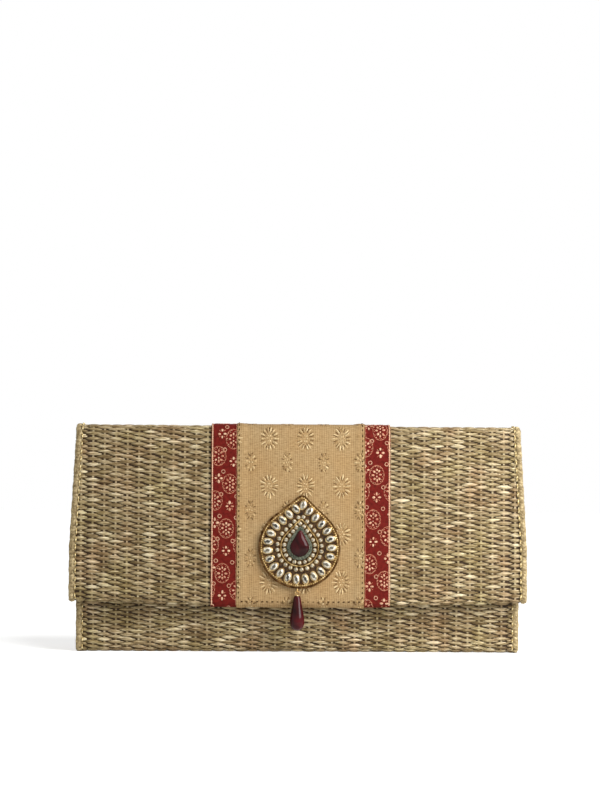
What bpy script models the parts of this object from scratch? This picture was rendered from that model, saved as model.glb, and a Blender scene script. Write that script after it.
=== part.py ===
"""Clutch bag: a woven straw envelope with a stiffened flap, a brocade band and a jewelled drop brooch.

Frame: X runs across the bag, the front faces -Y and Z is up. The origin is on the floor, in the
middle of the flat base. All sizes are in metres.
"""

import math

import bmesh
import bpy
from mathutils import Matrix, Vector

MM = 0.001

# Clearance between neighbouring pieces
GAP = 0.3 * MM

# Body of the bag, measured over the crests of the weave
BODY_WIDTH = 250.0 * MM
BODY_HEIGHT = 128.0 * MM
BASE_DEPTH = 36.0 * MM
TOP_DEPTH = 26.0 * MM
BASE_EDGE_RADIUS = 4.0 * MM
BACK_EDGE_RADIUS = 2.5 * MM

# Layers of a wall, from the outside in
WEAVE_SHEET = 1.0 * MM
WEAVE_RIDGE = 0.6 * MM
COLUMN_PITCH = 6.4 * MM
BOARD = 1.5 * MM
LINING = 0.4 * MM
GUSSET = 0.5 * MM

# Flap
FLAP_OVERHANG = 3.4 * MM
FLAP_WIDENING = 65.0 * MM
FLAP_BOTTOM = 26.5 * MM
FLAP_BOW = 2.5 * MM
FLAP_FOLD_RADIUS = 6.0 * MM
MOUTH_CLEARANCE = 0.5 * MM
FLAP_REST_GAP = 1.5 * MM
HINGE_BACK = 3.5 * MM
HINGE_RAISE = 0.2 * MM
HINGE_SLIT = 0.3 * MM

# Turned hems
MOUTH_HEM = 6.0 * MM
FLAP_HEM = 8.0 * MM

# Boards, gussets and lining
BOARD_INSET = 3.3 * MM
GUSSET_INSET = 1.0 * MM
GUSSET_FLANGE = 9.0 * MM
GUSSET_FOLD_TOP = 11.0 * MM
GUSSET_FOLD_BASE = 4.0 * MM
LINING_INSET = 4.5 * MM
LINING_FOLD_CLEARANCE = 1.6 * MM

# Ribbons and brocade panel on the flap
BAND_CENTRE = 1.0 * MM
BAND_START = 3.5 * MM
CLOTH = 0.45 * MM
PANEL_WIDTH = 71.5 * MM
RIBBON_WIDTH = 17.0 * MM
RIBBON_LAP = 2.5 * MM
PANEL_STEP = 1.0 * MM

# Magnetic snap
SNAP_HEIGHT = 45.0 * MM
SNAP_RADIUS = 7.0 * MM
SNAP_THICKNESS = 2.4 * MM
SNAP_HOLE_RADIUS = 3.2 * MM
SNAP_HOLE_DEPTH = 2.0 * MM
STUD_PLATE = 1.0 * MM
STUD_RADIUS = 2.2 * MM
STUD_LENGTH = 1.5 * MM
SNAP_SLACK = 0.3 * MM
SNAP_TILT = math.radians(2.0)
PRONG_WIDTH = 2.4 * MM
PRONG_THICKNESS = 0.6 * MM
PRONG_SPACING = 4.2 * MM
PRONG_ROOT = 0.2 * MM
WASHER_RADIUS = 6.0 * MM
WASHER = 0.5 * MM
WASHER_POCKET = 1.0 * MM
WASHER_RECESS = 0.2 * MM

# Brooch
BROOCH_X = 0.3 * MM
BROOCH_HEIGHT = 59.4 * MM
BROOCH_LEAN = math.radians(3.0)
PLATE_RADIUS = 22.1 * MM
PLATE_TIP = 28.6 * MM
PLATE_TIP_RADIUS = 3.0 * MM
PLATE_THICKNESS = 2.7 * MM
OUTER_STONE = (3.5 * MM, 5.2 * MM, 1.6 * MM)
OUTER_STONES = 24
OUTER_ROW = (17.9 * MM, 24.0 * MM)
SMALL_STONE = (2.2 * MM, 2.2 * MM, 1.2 * MM)
MIDDLE_STONES = 26
MIDDLE_ROW = (12.4 * MM, 17.6 * MM)
INNER_STONES = 20
INNER_ROW = (8.6 * MM, 13.4 * MM)
RING_WALL_ROW = (10.5 * MM, 15.5 * MM)
RING_WALL_RADIUS = 0.3 * MM
SETTING = (6.3 * MM, 10.9 * MM, 1.2 * MM)
CENTRE_STONE = (5.2 * MM, 9.5 * MM, 2.2 * MM)
CENTRE_STONE_EDGE = 0.9 * MM
ROW_TIP_RADIUS = 1.5 * MM
SETTING_STRIP = 0.4 * MM
STRIP_SHARE = 0.7
STONE_TABLE = 0.6

# Links and drop
WIRE_RADIUS = 0.25 * MM
EYELET_RADIUS = 1.2 * MM
EYELET_OVERHANG = 0.15 * MM
EYELET_DEPTH = 0.4 * MM
RING_RADIUS = 1.25 * MM
LOOP_RADIUS = 1.0 * MM
BEAD_LENGTH = 19.4 * MM
BEAD_RADIUS = 3.9 * MM
BEAD_TOP_RADIUS = 1.45 * MM
BEAD_WIDEST = 13.2 * MM
BEAD_BORE_DEPTH = 5.0 * MM
PIN_LENGTH = 4.5 * MM

# Fineness of round shapes
ARC_STEP = math.radians(45.0)
TEARDROP_STEPS = 20
TIP_STEPS = 4
FOLD_ROWS = 6
BEAD_STEPS = 6
MERGE = 0.01 * MM
DISC_SEGMENTS = 24
OVAL_SIDES = 7
ROUND_SIDES = 5
WIRE_SEGMENTS = 14
WIRE_SIDES = 8

# Sizes that follow from the ones above
FLAP_WIDTH = BODY_WIDTH + 2 * FLAP_OVERHANG
WEAVE_COLUMNS = round(BODY_WIDTH / COLUMN_PITCH)
WEAVE = WEAVE_SHEET + WEAVE_RIDGE
BOARD_DEPTH = WEAVE + GAP
LINING_DEPTH = BOARD_DEPTH + BOARD + GAP
WALL = LINING_DEPTH + LINING
HEM_RADIUS = (WEAVE + GAP + BOARD + GAP + WEAVE) / 2
MOUTH_HEIGHT = BODY_HEIGHT - WALL - MOUTH_CLEARANCE
HINGE_Y = TOP_DEPTH / 2 - HINGE_BACK
BOARD_HALF = BODY_WIDTH / 2 - GUSSET_INSET - GUSSET_FLANGE - GAP - GUSSET
SNAP_STACK = GAP + SNAP_THICKNESS + SNAP_SLACK + STUD_PLATE + GAP
LINK_STEP = 2 * WIRE_RADIUS + GAP


class Leg:
    """A straight run of a folded sheet, seen from the side, in (y, z)."""

    def __init__(self, start, end, normal):
        self.start = start
        self.end = end
        self.normal = normal
        self.length = (end - start).length
        self.along = (end - start).normalized()

    def point(self, distance):
        return self.start + self.along * distance

    def distance_at_height(self, height):
        return (height - self.start.y) / self.along.y

    def depth_at_height(self, height):
        return self.point(self.distance_at_height(height)).x

    def station(self, distance):
        return Station(self.point(distance), self.normal, distance)


class Station:
    """A line across a sheet: its place, the way it faces, and how it spreads, ripples and bows there."""

    def __init__(self, point, normal, run):
        self.point = point
        self.normal = normal
        self.run = run
        self.spread = 1.0
        self.relief = 1.0
        self.bow = Vector((0.0, 0.0))


def belt(circles):
    """The straight legs of a sheet that wraps circles (y, z, radius), with its face on the right."""
    legs = []
    for (y1, z1, r1), (y2, z2, r2) in zip(circles, circles[1:]):
        first = Vector((y1, z1))
        second = Vector((y2, z2))
        along = (second - first).normalized()
        right = Vector((along.y, -along.x))
        cosine = (r1 - r2) / (second - first).length
        normal = along * cosine + right * math.sqrt(1 - cosine * cosine)
        legs.append(Leg(first + normal * r1, second + normal * r2, normal))
    return legs


def turned(vector, angle):
    """A (y, z) vector turned to the left."""
    return Matrix.Rotation(angle, 2) @ vector


def wrap(circles):
    """Stations along the whole belt: its two ends, and steps round each circle between them."""
    legs = belt(circles)
    found = [legs[0].station(0.0)]
    run = legs[0].length
    for circle, leg, following in zip(circles[1:], legs, legs[1:]):
        centre = Vector(circle[:2])
        radius = circle[2]
        turn = math.atan2(following.normal.y, following.normal.x) - math.atan2(leg.normal.y, leg.normal.x)
        turn %= 2 * math.pi
        steps = max(2, round(turn / ARC_STEP))
        for step in range(steps + 1):
            normal = turned(leg.normal, turn * step / steps)
            arc = radius * turn * step / steps
            found.append(Station(centre + normal * radius, normal, run + arc))
        run += radius * turn + following.length
    found.append(Station(legs[-1].end, legs[-1].normal, run))
    return found


def centre_on_line(point, along, radius, height):
    """The centre, at this height, of a circle that touches the line with its right-hand side."""
    normal = Vector((along.y, -along.x))
    base = point - normal * radius
    return base + along * ((height - base.y) / along.y)


def clear_scene():
    for piece in list(bpy.data.objects):
        bpy.data.objects.remove(piece, do_unlink=True)


def new_collection(name):
    found = bpy.data.collections.get(name) or bpy.data.collections.new(name)
    if name not in bpy.context.scene.collection.children:
        bpy.context.scene.collection.children.link(found)
    return found


def linear(channel):
    """An sRGB channel, 0 to 1, as linear light."""
    if channel <= 0.04045:
        return channel / 12.92
    return ((channel + 0.055) / 1.055) ** 2.4


def finish(name, colour, roughness, metallic=0.0):
    """A plain material; the colour is an sRGB triple, 0 to 255."""
    material = bpy.data.materials.new(name)
    material.use_nodes = True
    shader = material.node_tree.nodes["Principled BSDF"]
    shader.inputs["Base Color"].default_value = [linear(part / 255) for part in colour] + [1.0]
    shader.inputs["Roughness"].default_value = roughness
    shader.inputs["Metallic"].default_value = metallic
    return material


def keep(piece, name, material, collection):
    """Name a piece, give it its material and put it in its collection alone."""
    piece.name = name
    piece.data.name = name
    piece.data.materials.clear()
    if material:
        piece.data.materials.append(material)
    for other in list(piece.users_collection):
        other.objects.unlink(piece)
    collection.objects.link(piece)
    return piece


def from_bmesh(shape, name, material, collection):
    mesh = bpy.data.meshes.new(name)
    shape.to_mesh(mesh)
    shape.free()
    return keep(bpy.data.objects.new(name, mesh), name, material, collection)


def hang_on(piece, empty):
    """Parent a piece to an empty and leave it where it is."""
    piece.parent = empty
    piece.matrix_parent_inverse = empty.matrix_world.inverted()
    return piece


def panel_matrix(point, normal, x=0.0):
    """A frame on a panel: X across the bag, Y up along the panel, Z out of it."""
    across = Vector((1.0, 0.0, 0.0))
    out = Vector((0.0, normal.x, normal.y))
    up = out.cross(across)
    matrix = Matrix((across, up, out)).transposed().to_4x4()
    matrix.translation = (x, point.x, point.y)
    return matrix


def new_empty(name, matrix, parent=None):
    """An empty at a place given in its parent's frame."""
    empty = bpy.data.objects.new(name, None)
    empty.empty_display_size = 10.0 * MM
    BAG.objects.link(empty)
    if parent:
        empty.parent = parent
    empty.matrix_local = matrix
    bpy.context.view_layer.update()
    return empty


def block(name, frame, low, high, material, collection):
    """A box between two corners, given in a frame's own axes."""
    bpy.ops.mesh.primitive_cube_add(size=1.0)
    box = bpy.context.object
    box.scale = [b - a for a, b in zip(low, high)]
    bpy.ops.object.transform_apply(location=False, rotation=False, scale=True)
    keep(box, name, material, collection)
    box.matrix_world = frame @ Matrix.Translation([(a + b) / 2 for a, b in zip(low, high)])
    return box


def disc(name, frame, radius, low, high, material, collection):
    """A round plate between two levels of a frame."""
    bpy.ops.mesh.primitive_cylinder_add(vertices=DISC_SEGMENTS, radius=radius, depth=high - low)
    plate = keep(bpy.context.object, name, material, collection)
    plate.matrix_world = frame @ Matrix.Translation((0.0, 0.0, (low + high) / 2))
    return plate


def combine(piece, cutter, operation):
    """Cut a piece by another, or join the two."""
    cutter.hide_render = True
    cutter.display_type = 'WIRE'
    modifier = piece.modifiers.new(operation.lower() + "_" + cutter.name, 'BOOLEAN')
    modifier.operation = operation
    modifier.solver = 'EXACT'
    modifier.object = cutter


def sheet(name, profile, stations, thickness, material):
    """A thin sheet: (x, lift) points swept through the stations, with its wall on the inner side."""
    shape = bmesh.new()
    bmesh.ops.create_grid(shape, x_segments=len(profile) - 1, y_segments=len(stations) - 1, size=1.0)
    shape.verts.ensure_lookup_table()
    for index, vertex in enumerate(shape.verts):
        row, column = divmod(index, len(profile))
        x, lift = profile[column]
        station = stations[row]
        place = station.point + station.normal * lift * station.relief
        place += station.bow * (2 * x / FLAP_WIDTH) ** 2
        vertex.co = (x * station.spread, place.x, place.y)
    bmesh.ops.reverse_faces(shape, faces=shape.faces)
    piece = from_bmesh(shape, name, material, BAG)
    solidify = piece.modifiers.new("wall", 'SOLIDIFY')
    solidify.thickness = thickness
    solidify.offset = -1.0
    solidify.use_even_offset = True
    return piece


def ridges(width):
    """The weave's section: a crest in each column and a valley on each of its sides."""
    steps = 2 * WEAVE_COLUMNS
    crests = [0.0 if step % 2 else -WEAVE_RIDGE for step in range(steps + 1)]
    return [(width * (step / steps - 0.5), lift) for step, lift in enumerate(crests)]


def board(name, leg, start, end, half_width, material):
    """A stiffening board behind the weave, along part of a leg."""
    frame = panel_matrix(leg.point((start + end) / 2), leg.normal)
    half = (end - start) / 2
    low = (-half_width, -half, -BOARD_DEPTH - BOARD)
    high = (half_width, half, -BOARD_DEPTH)
    return block(name, frame, low, high, material, BAG)


def body_profile():
    """Circles that the body's sheet wraps, from the hem inside the mouth to the slit at the top."""
    roll = (-TOP_DEPTH / 2 + HEM_RADIUS, MOUTH_HEIGHT - HEM_RADIUS, HEM_RADIUS)
    base_front = (-BASE_DEPTH / 2 + BASE_EDGE_RADIUS, BASE_EDGE_RADIUS, BASE_EDGE_RADIUS)
    base_back = (BASE_DEPTH / 2 - BASE_EDGE_RADIUS, BASE_EDGE_RADIUS, BASE_EDGE_RADIUS)
    back_edge = (TOP_DEPTH / 2 - BACK_EDGE_RADIUS, BODY_HEIGHT - BACK_EDGE_RADIUS, BACK_EDGE_RADIUS)
    face = belt([roll, base_front])[0]
    hem = Vector(roll[:2]) - face.normal * HEM_RADIUS + face.along * MOUTH_HEM
    slit = (HINGE_Y + HINGE_SLIT / 2, BODY_HEIGHT, 0.0)
    return [(hem.x, hem.y, 0.0), roll, base_front, base_back, back_edge, slit]


def flap_profile(front):
    """Circles that the flap's sheet wraps, set off from the front wall at the mouth and the snap."""
    upper = Vector((front.depth_at_height(MOUTH_HEIGHT) - WALL - FLAP_REST_GAP, MOUTH_HEIGHT))
    snap_gap = SNAP_STACK + SNAP_RADIUS * math.sin(SNAP_TILT)
    lower = Vector((front.depth_at_height(SNAP_HEIGHT) - WALL - snap_gap, SNAP_HEIGHT))
    along = (lower - upper).normalized()
    fold = centre_on_line(upper, along, FLAP_FOLD_RADIUS, BODY_HEIGHT - FLAP_FOLD_RADIUS)
    roll = centre_on_line(upper, along, HEM_RADIUS, FLAP_BOTTOM + HEM_RADIUS)
    normal = Vector((along.y, -along.x))
    hem = roll - normal * HEM_RADIUS - along * FLAP_HEM
    slit = (HINGE_Y - HINGE_SLIT / 2, BODY_HEIGHT, 0.0)
    return [slit, (fold.x, fold.y, FLAP_FOLD_RADIUS), (roll.x, roll.y, HEM_RADIUS), (hem.x, hem.y, 0.0)]


def shape_flap(stations, face, face_start):
    """Widen the flap steadily down its face, and bow its lower edge up towards the corners."""
    narrow = BODY_WIDTH / FLAP_WIDTH
    roll_end = face_start + face.length + HEM_RADIUS * math.pi
    for station in stations:
        share = min(max((station.run - face_start) / FLAP_WIDENING, 0.0), 1.0)
        station.spread = narrow + (1.0 - narrow) * share
        down = min(max((station.run - face_start) / face.length, 0.0), 1.0)
        back_up = max(station.run - roll_end, 0.0) / face.length
        station.bow = face.along * -FLAP_BOW * (down - back_up)
    return stations


def teardrop(radius, tip, tip_radius):
    """Points round a teardrop: a round bowl about the origin and a rounded tip above it."""
    lean = math.asin((radius - tip_radius) / (tip - tip_radius))
    points = []
    for step in range(TEARDROP_STEPS + 1):
        angle = math.pi - lean + (math.pi + 2 * lean) * step / TEARDROP_STEPS
        points.append(Vector((radius * math.cos(angle), radius * math.sin(angle))))
    for step in range(TIP_STEPS + 1):
        angle = lean + (math.pi - 2 * lean) * step / TIP_STEPS
        rise = tip - tip_radius + tip_radius * math.sin(angle)
        points.append(Vector((tip_radius * math.cos(angle), rise)))
    return points


def spaced(points, count):
    """Places at equal steps round a closed outline, each with the angle that faces outward."""
    closed = points + points[:1]
    sides = [(b - a).length for a, b in zip(closed, closed[1:])]
    step = sum(sides) / count
    places = []
    walked = 0.0
    target = step / 2
    for first, second, side in zip(closed, closed[1:], sides):
        while target <= walked + side and len(places) < count:
            along = (second - first).normalized()
            places.append((first + along * (target - walked), math.atan2(-along.x, along.y)))
            target += step
        walked += side
    return places


def add_closed_spline(curve, points):
    spline = curve.splines.new('POLY')
    spline.points.add(len(points) - 1)
    for target, point in zip(spline.points, points):
        target.co = (point.x, point.y, 0.0, 1.0)
    spline.use_cyclic_u = True


def outline_piece(name, outlines, low, high, edge, material, parent):
    """A flat shape of one or more outlines between two levels of its parent's frame, rims rounded."""
    curve = bpy.data.curves.new(name, 'CURVE')
    curve.dimensions = '2D'
    curve.fill_mode = 'BOTH'
    curve.extrude = (high - low) / 2 - edge
    curve.bevel_depth = edge
    curve.bevel_resolution = 1
    curve.offset = -edge
    for points in outlines:
        add_closed_spline(curve, points)
    piece = keep(bpy.data.objects.new(name, curve), name, material, BAG)
    piece.parent = parent
    piece.location = (0.0, 0.0, (low + high) / 2)
    return piece


def as_mesh(piece):
    """Turn a curve object into a welded mesh object in the same place."""
    bpy.context.view_layer.update()
    depsgraph = bpy.context.evaluated_depsgraph_get()
    mesh = bpy.data.meshes.new_from_object(piece.evaluated_get(depsgraph))
    shape = bmesh.new()
    shape.from_mesh(mesh)
    bmesh.ops.remove_doubles(shape, verts=shape.verts, dist=MERGE)
    bmesh.ops.recalc_face_normals(shape, faces=shape.faces)
    shape.to_mesh(mesh)
    shape.free()
    solid = bpy.data.objects.new(piece.name, mesh)
    BAG.objects.link(solid)
    solid.parent = piece.parent
    solid.location = piece.location
    name = piece.name
    bpy.data.objects.remove(piece)
    solid.name = name
    return solid


def torus(name, radius, place, turn, parent, material, collection):
    """A closed wire ring in its parent's frame."""
    bpy.ops.mesh.primitive_torus_add(major_segments=WIRE_SEGMENTS, minor_segments=WIRE_SIDES,
                                     major_radius=radius, minor_radius=WIRE_RADIUS)
    ring = keep(bpy.context.object, name, material, collection)
    ring.parent = parent
    ring.location = place
    ring.rotation_euler = turn
    ring.data.shade_smooth()
    return ring


def turned_piece(name, profile, material, collection, segments=DISC_SEGMENTS):
    """A turned solid: (radius, height) points run down its outer side and spun about Z."""
    shape = bmesh.new()
    points = [shape.verts.new((radius, 0.0, height)) for radius, height in profile]
    for first, second in zip(points, points[1:]):
        shape.edges.new((first, second))
    piece = from_bmesh(shape, name, material, collection)
    screw = piece.modifiers.new("turned", 'SCREW')
    screw.steps = segments
    screw.render_steps = segments
    screw.use_merge_vertices = True
    screw.merge_threshold = MERGE
    return piece


def make_woven_wrap(profile, material):
    """The body's outer sheet: front, base and back in one woven strip, flat where it stands."""
    stations = wrap(profile)
    for station in stations:
        station.relief = 1.0 - max(0.0, -station.normal.y) ** 2
    return sheet("woven_wrap", ridges(BODY_WIDTH), stations, WEAVE_SHEET, material)


def make_body_boards(front, base, back, material):
    """Boards that stiffen the front, the base and the back."""
    front_board = board("front_board", front, 0.0, front.length - GAP, BOARD_HALF, material)
    board("base_board", base, GAP, base.length - GAP, BOARD_HALF, material)
    board("back_board", back, GAP, back.length - GAP, BOARD_HALF, material)
    return front_board


def make_gusset(name, side, front, back, material):
    """A side gusset: two flanges on the walls' inner faces and a fold that points into the bag."""
    depth = BOARD_DEPTH + GUSSET / 2
    low = BASE_EDGE_RADIUS + GAP
    high = MOUTH_HEIGHT - HEM_RADIUS - MOUTH_HEM - GAP
    outer = BODY_WIDTH / 2 - GUSSET_INSET - GUSSET / 2
    inner = outer - GUSSET_FLANGE
    shape = bmesh.new()
    bmesh.ops.create_grid(shape, x_segments=4, y_segments=FOLD_ROWS, size=1.0)
    shape.verts.ensure_lookup_table()
    for index, vertex in enumerate(shape.verts):
        row, column = divmod(index, 5)
        share = row / FOLD_ROWS
        height = low + (high - low) * share
        fold = GUSSET_FOLD_BASE + (GUSSET_FOLD_TOP - GUSSET_FOLD_BASE) * share
        front_y = front.depth_at_height(height) + depth
        back_y = back.depth_at_height(height) - depth
        section = [(inner, front_y), (outer, front_y), (outer - fold, (front_y + back_y) / 2),
                   (outer, back_y), (inner, back_y)]
        x, y = section[column]
        vertex.co = (side * x, y, height)
    if side > 0:
        bmesh.ops.reverse_faces(shape, faces=shape.faces)
    gusset = from_bmesh(shape, name, material, BAG)
    solidify = gusset.modifiers.new("wall", 'SOLIDIFY')
    solidify.thickness = GUSSET
    solidify.offset = 0.0
    solidify.use_even_offset = True


def make_pocket_lining(front, back, material):
    """The pocket's cloth lining: an open bag whose sides follow the gussets' folds."""
    low = LINING_DEPTH
    front_top = MOUTH_HEIGHT - HEM_RADIUS - MOUTH_HEM - GAP
    side = BODY_WIDTH / 2 - LINING_INSET
    fold_x = BODY_WIDTH / 2 - GUSSET_INSET - GUSSET / 2 - LINING_FOLD_CLEARANCE

    def ring(front_z, back_z, fold):
        front_y = front.depth_at_height(front_z) + LINING_DEPTH
        back_y = back.depth_at_height(back_z) - LINING_DEPTH
        middle = (fold_x - fold, (front_y + back_y) / 2, front_z)
        points = [(-side, front_y, front_z), (side, front_y, front_z), middle,
                  (side, back_y, back_z), (-side, back_y, back_z), (-middle[0], middle[1], middle[2])]
        return [Vector(point) for point in points]

    bottom = ring(low, low, GUSSET_FOLD_BASE)
    mouth = ring(front_top, MOUTH_HEIGHT, GUSSET_FOLD_TOP)
    shape = bmesh.new()
    rings = []
    for row in range(FOLD_ROWS + 1):
        points = [start.lerp(end, row / FOLD_ROWS) for start, end in zip(bottom, mouth)]
        rings.append([shape.verts.new(point) for point in points])
    shape.faces.new(rings[0][::-1])
    for lower, upper in zip(rings, rings[1:]):
        for index in range(len(lower)):
            following = (index + 1) % len(lower)
            shape.faces.new((lower[index], lower[following], upper[following], upper[index]))
    lining = from_bmesh(shape, "pocket_lining", material, BAG)
    solidify = lining.modifiers.new("wall", 'SOLIDIFY')
    solidify.thickness = LINING
    solidify.offset = -1.0
    solidify.use_even_offset = True


def make_flap(profile, hinge, materials):
    """The flap's woven sheet, boards, lining, ribbons and brocade panel, all on its hinge."""
    top, face, hem = belt(profile)
    stations = wrap(profile)
    face_start = stations[-1].run - hem.length - face.length - HEM_RADIUS * math.pi
    full = face.station(FLAP_WIDENING)
    full.run += face_start
    stations = sorted(stations + [full], key=lambda station: station.run)
    shape_flap(stations, face, face_start)
    woven = sheet("woven_flap", ridges(FLAP_WIDTH), stations, WEAVE_SHEET, materials["weave"])

    half = BODY_WIDTH / 2 - BOARD_INSET
    top_board = board("top_board", top, GAP, top.length, half, materials["board"])
    flap_board = board("flap_board", face, 0.0, face.length - FLAP_BOW, half, materials["board"])

    start = top.station(GAP)
    end = face.station(face.length - FLAP_HEM - GAP)
    end.run += face_start
    covered = [start] + [station for station in stations if start.run < station.run < end.run] + [end]
    shape_flap([start, end], face, face_start)
    edge = FLAP_WIDTH / 2 - BOARD_INSET
    lining_lift = [(-edge, -LINING_DEPTH), (edge, -LINING_DEPTH)]
    lining = sheet("flap_lining", lining_lift, covered, LINING, materials["lining"])

    seam = top.station(BAND_START)
    straight = []
    for station in [seam] + [station for station in stations if station.run > seam.run]:
        even = Station(station.point, station.normal, station.run)
        even.bow = station.bow
        straight.append(even)
    half_panel = PANEL_WIDTH / 2
    ribbon_inner = half_panel - RIBBON_LAP
    ribbon_outer = ribbon_inner + RIBBON_WIDTH
    low = GAP + CLOTH
    high = low + GAP + CLOTH
    trims = []
    for name, sign in (("left_ribbon", -1), ("right_ribbon", 1)):
        edges = sorted((BAND_CENTRE + sign * ribbon_inner, BAND_CENTRE + sign * ribbon_outer))
        trims.append(sheet(name, [(x, low) for x in edges], straight, CLOTH, materials["ribbon"]))
    step_out = ribbon_inner - GAP - CLOTH
    step_in = step_out - PANEL_STEP
    section = [(-half_panel, high), (-step_out, high), (-step_in, low),
               (step_in, low), (step_out, high), (half_panel, high)]
    panel_section = [(BAND_CENTRE + x, lift) for x, lift in section]
    trims.append(sheet("brocade_panel", panel_section, straight, CLOTH, materials["brocade"]))

    for piece in [woven, top_board, flap_board, lining] + trims:
        hang_on(piece, hinge)
    return face, flap_board, lining


def prong_boxes(name, frame, low, high, allowance, material, collection):
    """The snap's two prongs, or the slits for them where an allowance is given."""
    boxes = []
    for side in (-1, 1):
        x = side * PRONG_SPACING
        width = PRONG_THICKNESS / 2 + allowance
        tall = PRONG_WIDTH / 2 + allowance
        corner = (x - width, -tall, low)
        boxes.append(block(f"{name}_{len(boxes) + 1}", frame, corner, (x + width, tall, high),
                           material, collection))
    return boxes


def make_front_snap(frame, wrap_piece, front_board, material):
    """The magnetic half on the bag's front, with its prongs through the wall into a washer."""
    top = GAP + SNAP_THICKNESS
    pocket_floor = -BOARD_DEPTH - BOARD + WASHER_POCKET
    washer_low = -BOARD_DEPTH - BOARD + WASHER_RECESS
    profile = [(0.0, top - SNAP_HOLE_DEPTH), (SNAP_HOLE_RADIUS, top - SNAP_HOLE_DEPTH),
               (SNAP_HOLE_RADIUS, top), (SNAP_RADIUS, top), (SNAP_RADIUS, GAP), (0.0, GAP)]
    magnet = turned_piece("snap_magnet", profile, material, BAG)
    magnet.matrix_world = frame
    overlap = GAP + PRONG_ROOT
    for prong in prong_boxes("magnet_prong", frame, washer_low, overlap, 0.0, None, CUTTERS):
        combine(magnet, prong, 'UNION')
    pocket = disc("front_washer_pocket", frame, WASHER_RADIUS + GAP, -LINING_DEPTH, pocket_floor,
                  None, CUTTERS)
    combine(front_board, pocket, 'DIFFERENCE')
    washer = disc("snap_magnet_washer", frame, WASHER_RADIUS, washer_low, washer_low + WASHER, material, BAG)
    for slit in prong_boxes("front_slit", frame, -WALL, GAP + SNAP_THICKNESS, GAP, None, CUTTERS):
        for piece in (wrap_piece, front_board, washer):
            combine(piece, slit, 'DIFFERENCE')


def make_flap_snap(frame, hinge, lining, flap_board, material):
    """The stud half inside the flap, with its prongs through lining and board into a washer."""
    plate_top = -WALL - GAP
    plate_low = plate_top - STUD_PLATE
    profile = [(0.0, plate_top), (SNAP_RADIUS, plate_top), (SNAP_RADIUS, plate_low),
               (STUD_RADIUS, plate_low), (STUD_RADIUS, plate_low - STUD_LENGTH),
               (0.0, plate_low - STUD_LENGTH)]
    stud = turned_piece("snap_stud", profile, material, BAG)
    stud.matrix_world = frame
    washer_high = -BOARD_DEPTH - WASHER_RECESS
    overlap = plate_top - PRONG_ROOT
    for prong in prong_boxes("stud_prong", frame, overlap, washer_high, 0.0, None, CUTTERS):
        combine(stud, prong, 'UNION')
    floor = -BOARD_DEPTH - WASHER_POCKET
    pocket = disc("flap_washer_pocket", frame, WASHER_RADIUS + GAP, floor, -WEAVE, None, CUTTERS)
    combine(flap_board, pocket, 'DIFFERENCE')
    washer = disc("snap_stud_washer", frame, WASHER_RADIUS, washer_high - WASHER, washer_high, material, BAG)
    for slit in prong_boxes("flap_slit", frame, plate_low, -WEAVE, GAP, None, CUTTERS):
        for piece in (lining, flap_board, washer):
            combine(piece, slit, 'DIFFERENCE')
    hang_on(stud, hinge)
    hang_on(washer, hinge)


def make_stone_row(name, row, count, size, seat, segments, material, parent):
    """A row of cut stones, each a low frustum that faces outward, joined by the strip they are set in."""
    radius, tip = row
    across, along, height = size
    half_strip = along / 2 * STRIP_SHARE
    outer = teardrop(radius + half_strip, tip + half_strip, ROW_TIP_RADIUS + half_strip)
    inner = teardrop(radius - half_strip, tip - half_strip, ROW_TIP_RADIUS)
    strip = as_mesh(outline_piece(name, [outer, inner], seat, seat + SETTING_STRIP, 0.0, material, parent))
    keep(strip, name, material, BAG)
    base = seat + SETTING_STRIP / 2
    shape = bmesh.new()
    for place, angle in spaced(teardrop(radius, tip, ROW_TIP_RADIUS), count):
        matrix = (Matrix.Translation((place.x, place.y, base + height / 2))
                  @ Matrix.Rotation(angle - math.pi / 2, 4, 'Z')
                  @ Matrix.Diagonal((across / 2, along / 2, 1.0, 1.0)))
        bmesh.ops.create_cone(shape, cap_ends=True, segments=segments, radius1=1.0,
                              radius2=STONE_TABLE, depth=height, matrix=matrix)
    stones = from_bmesh(shape, name + "_cut", None, CUTTERS)
    stones.parent = parent
    combine(strip, stones, 'UNION')


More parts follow.
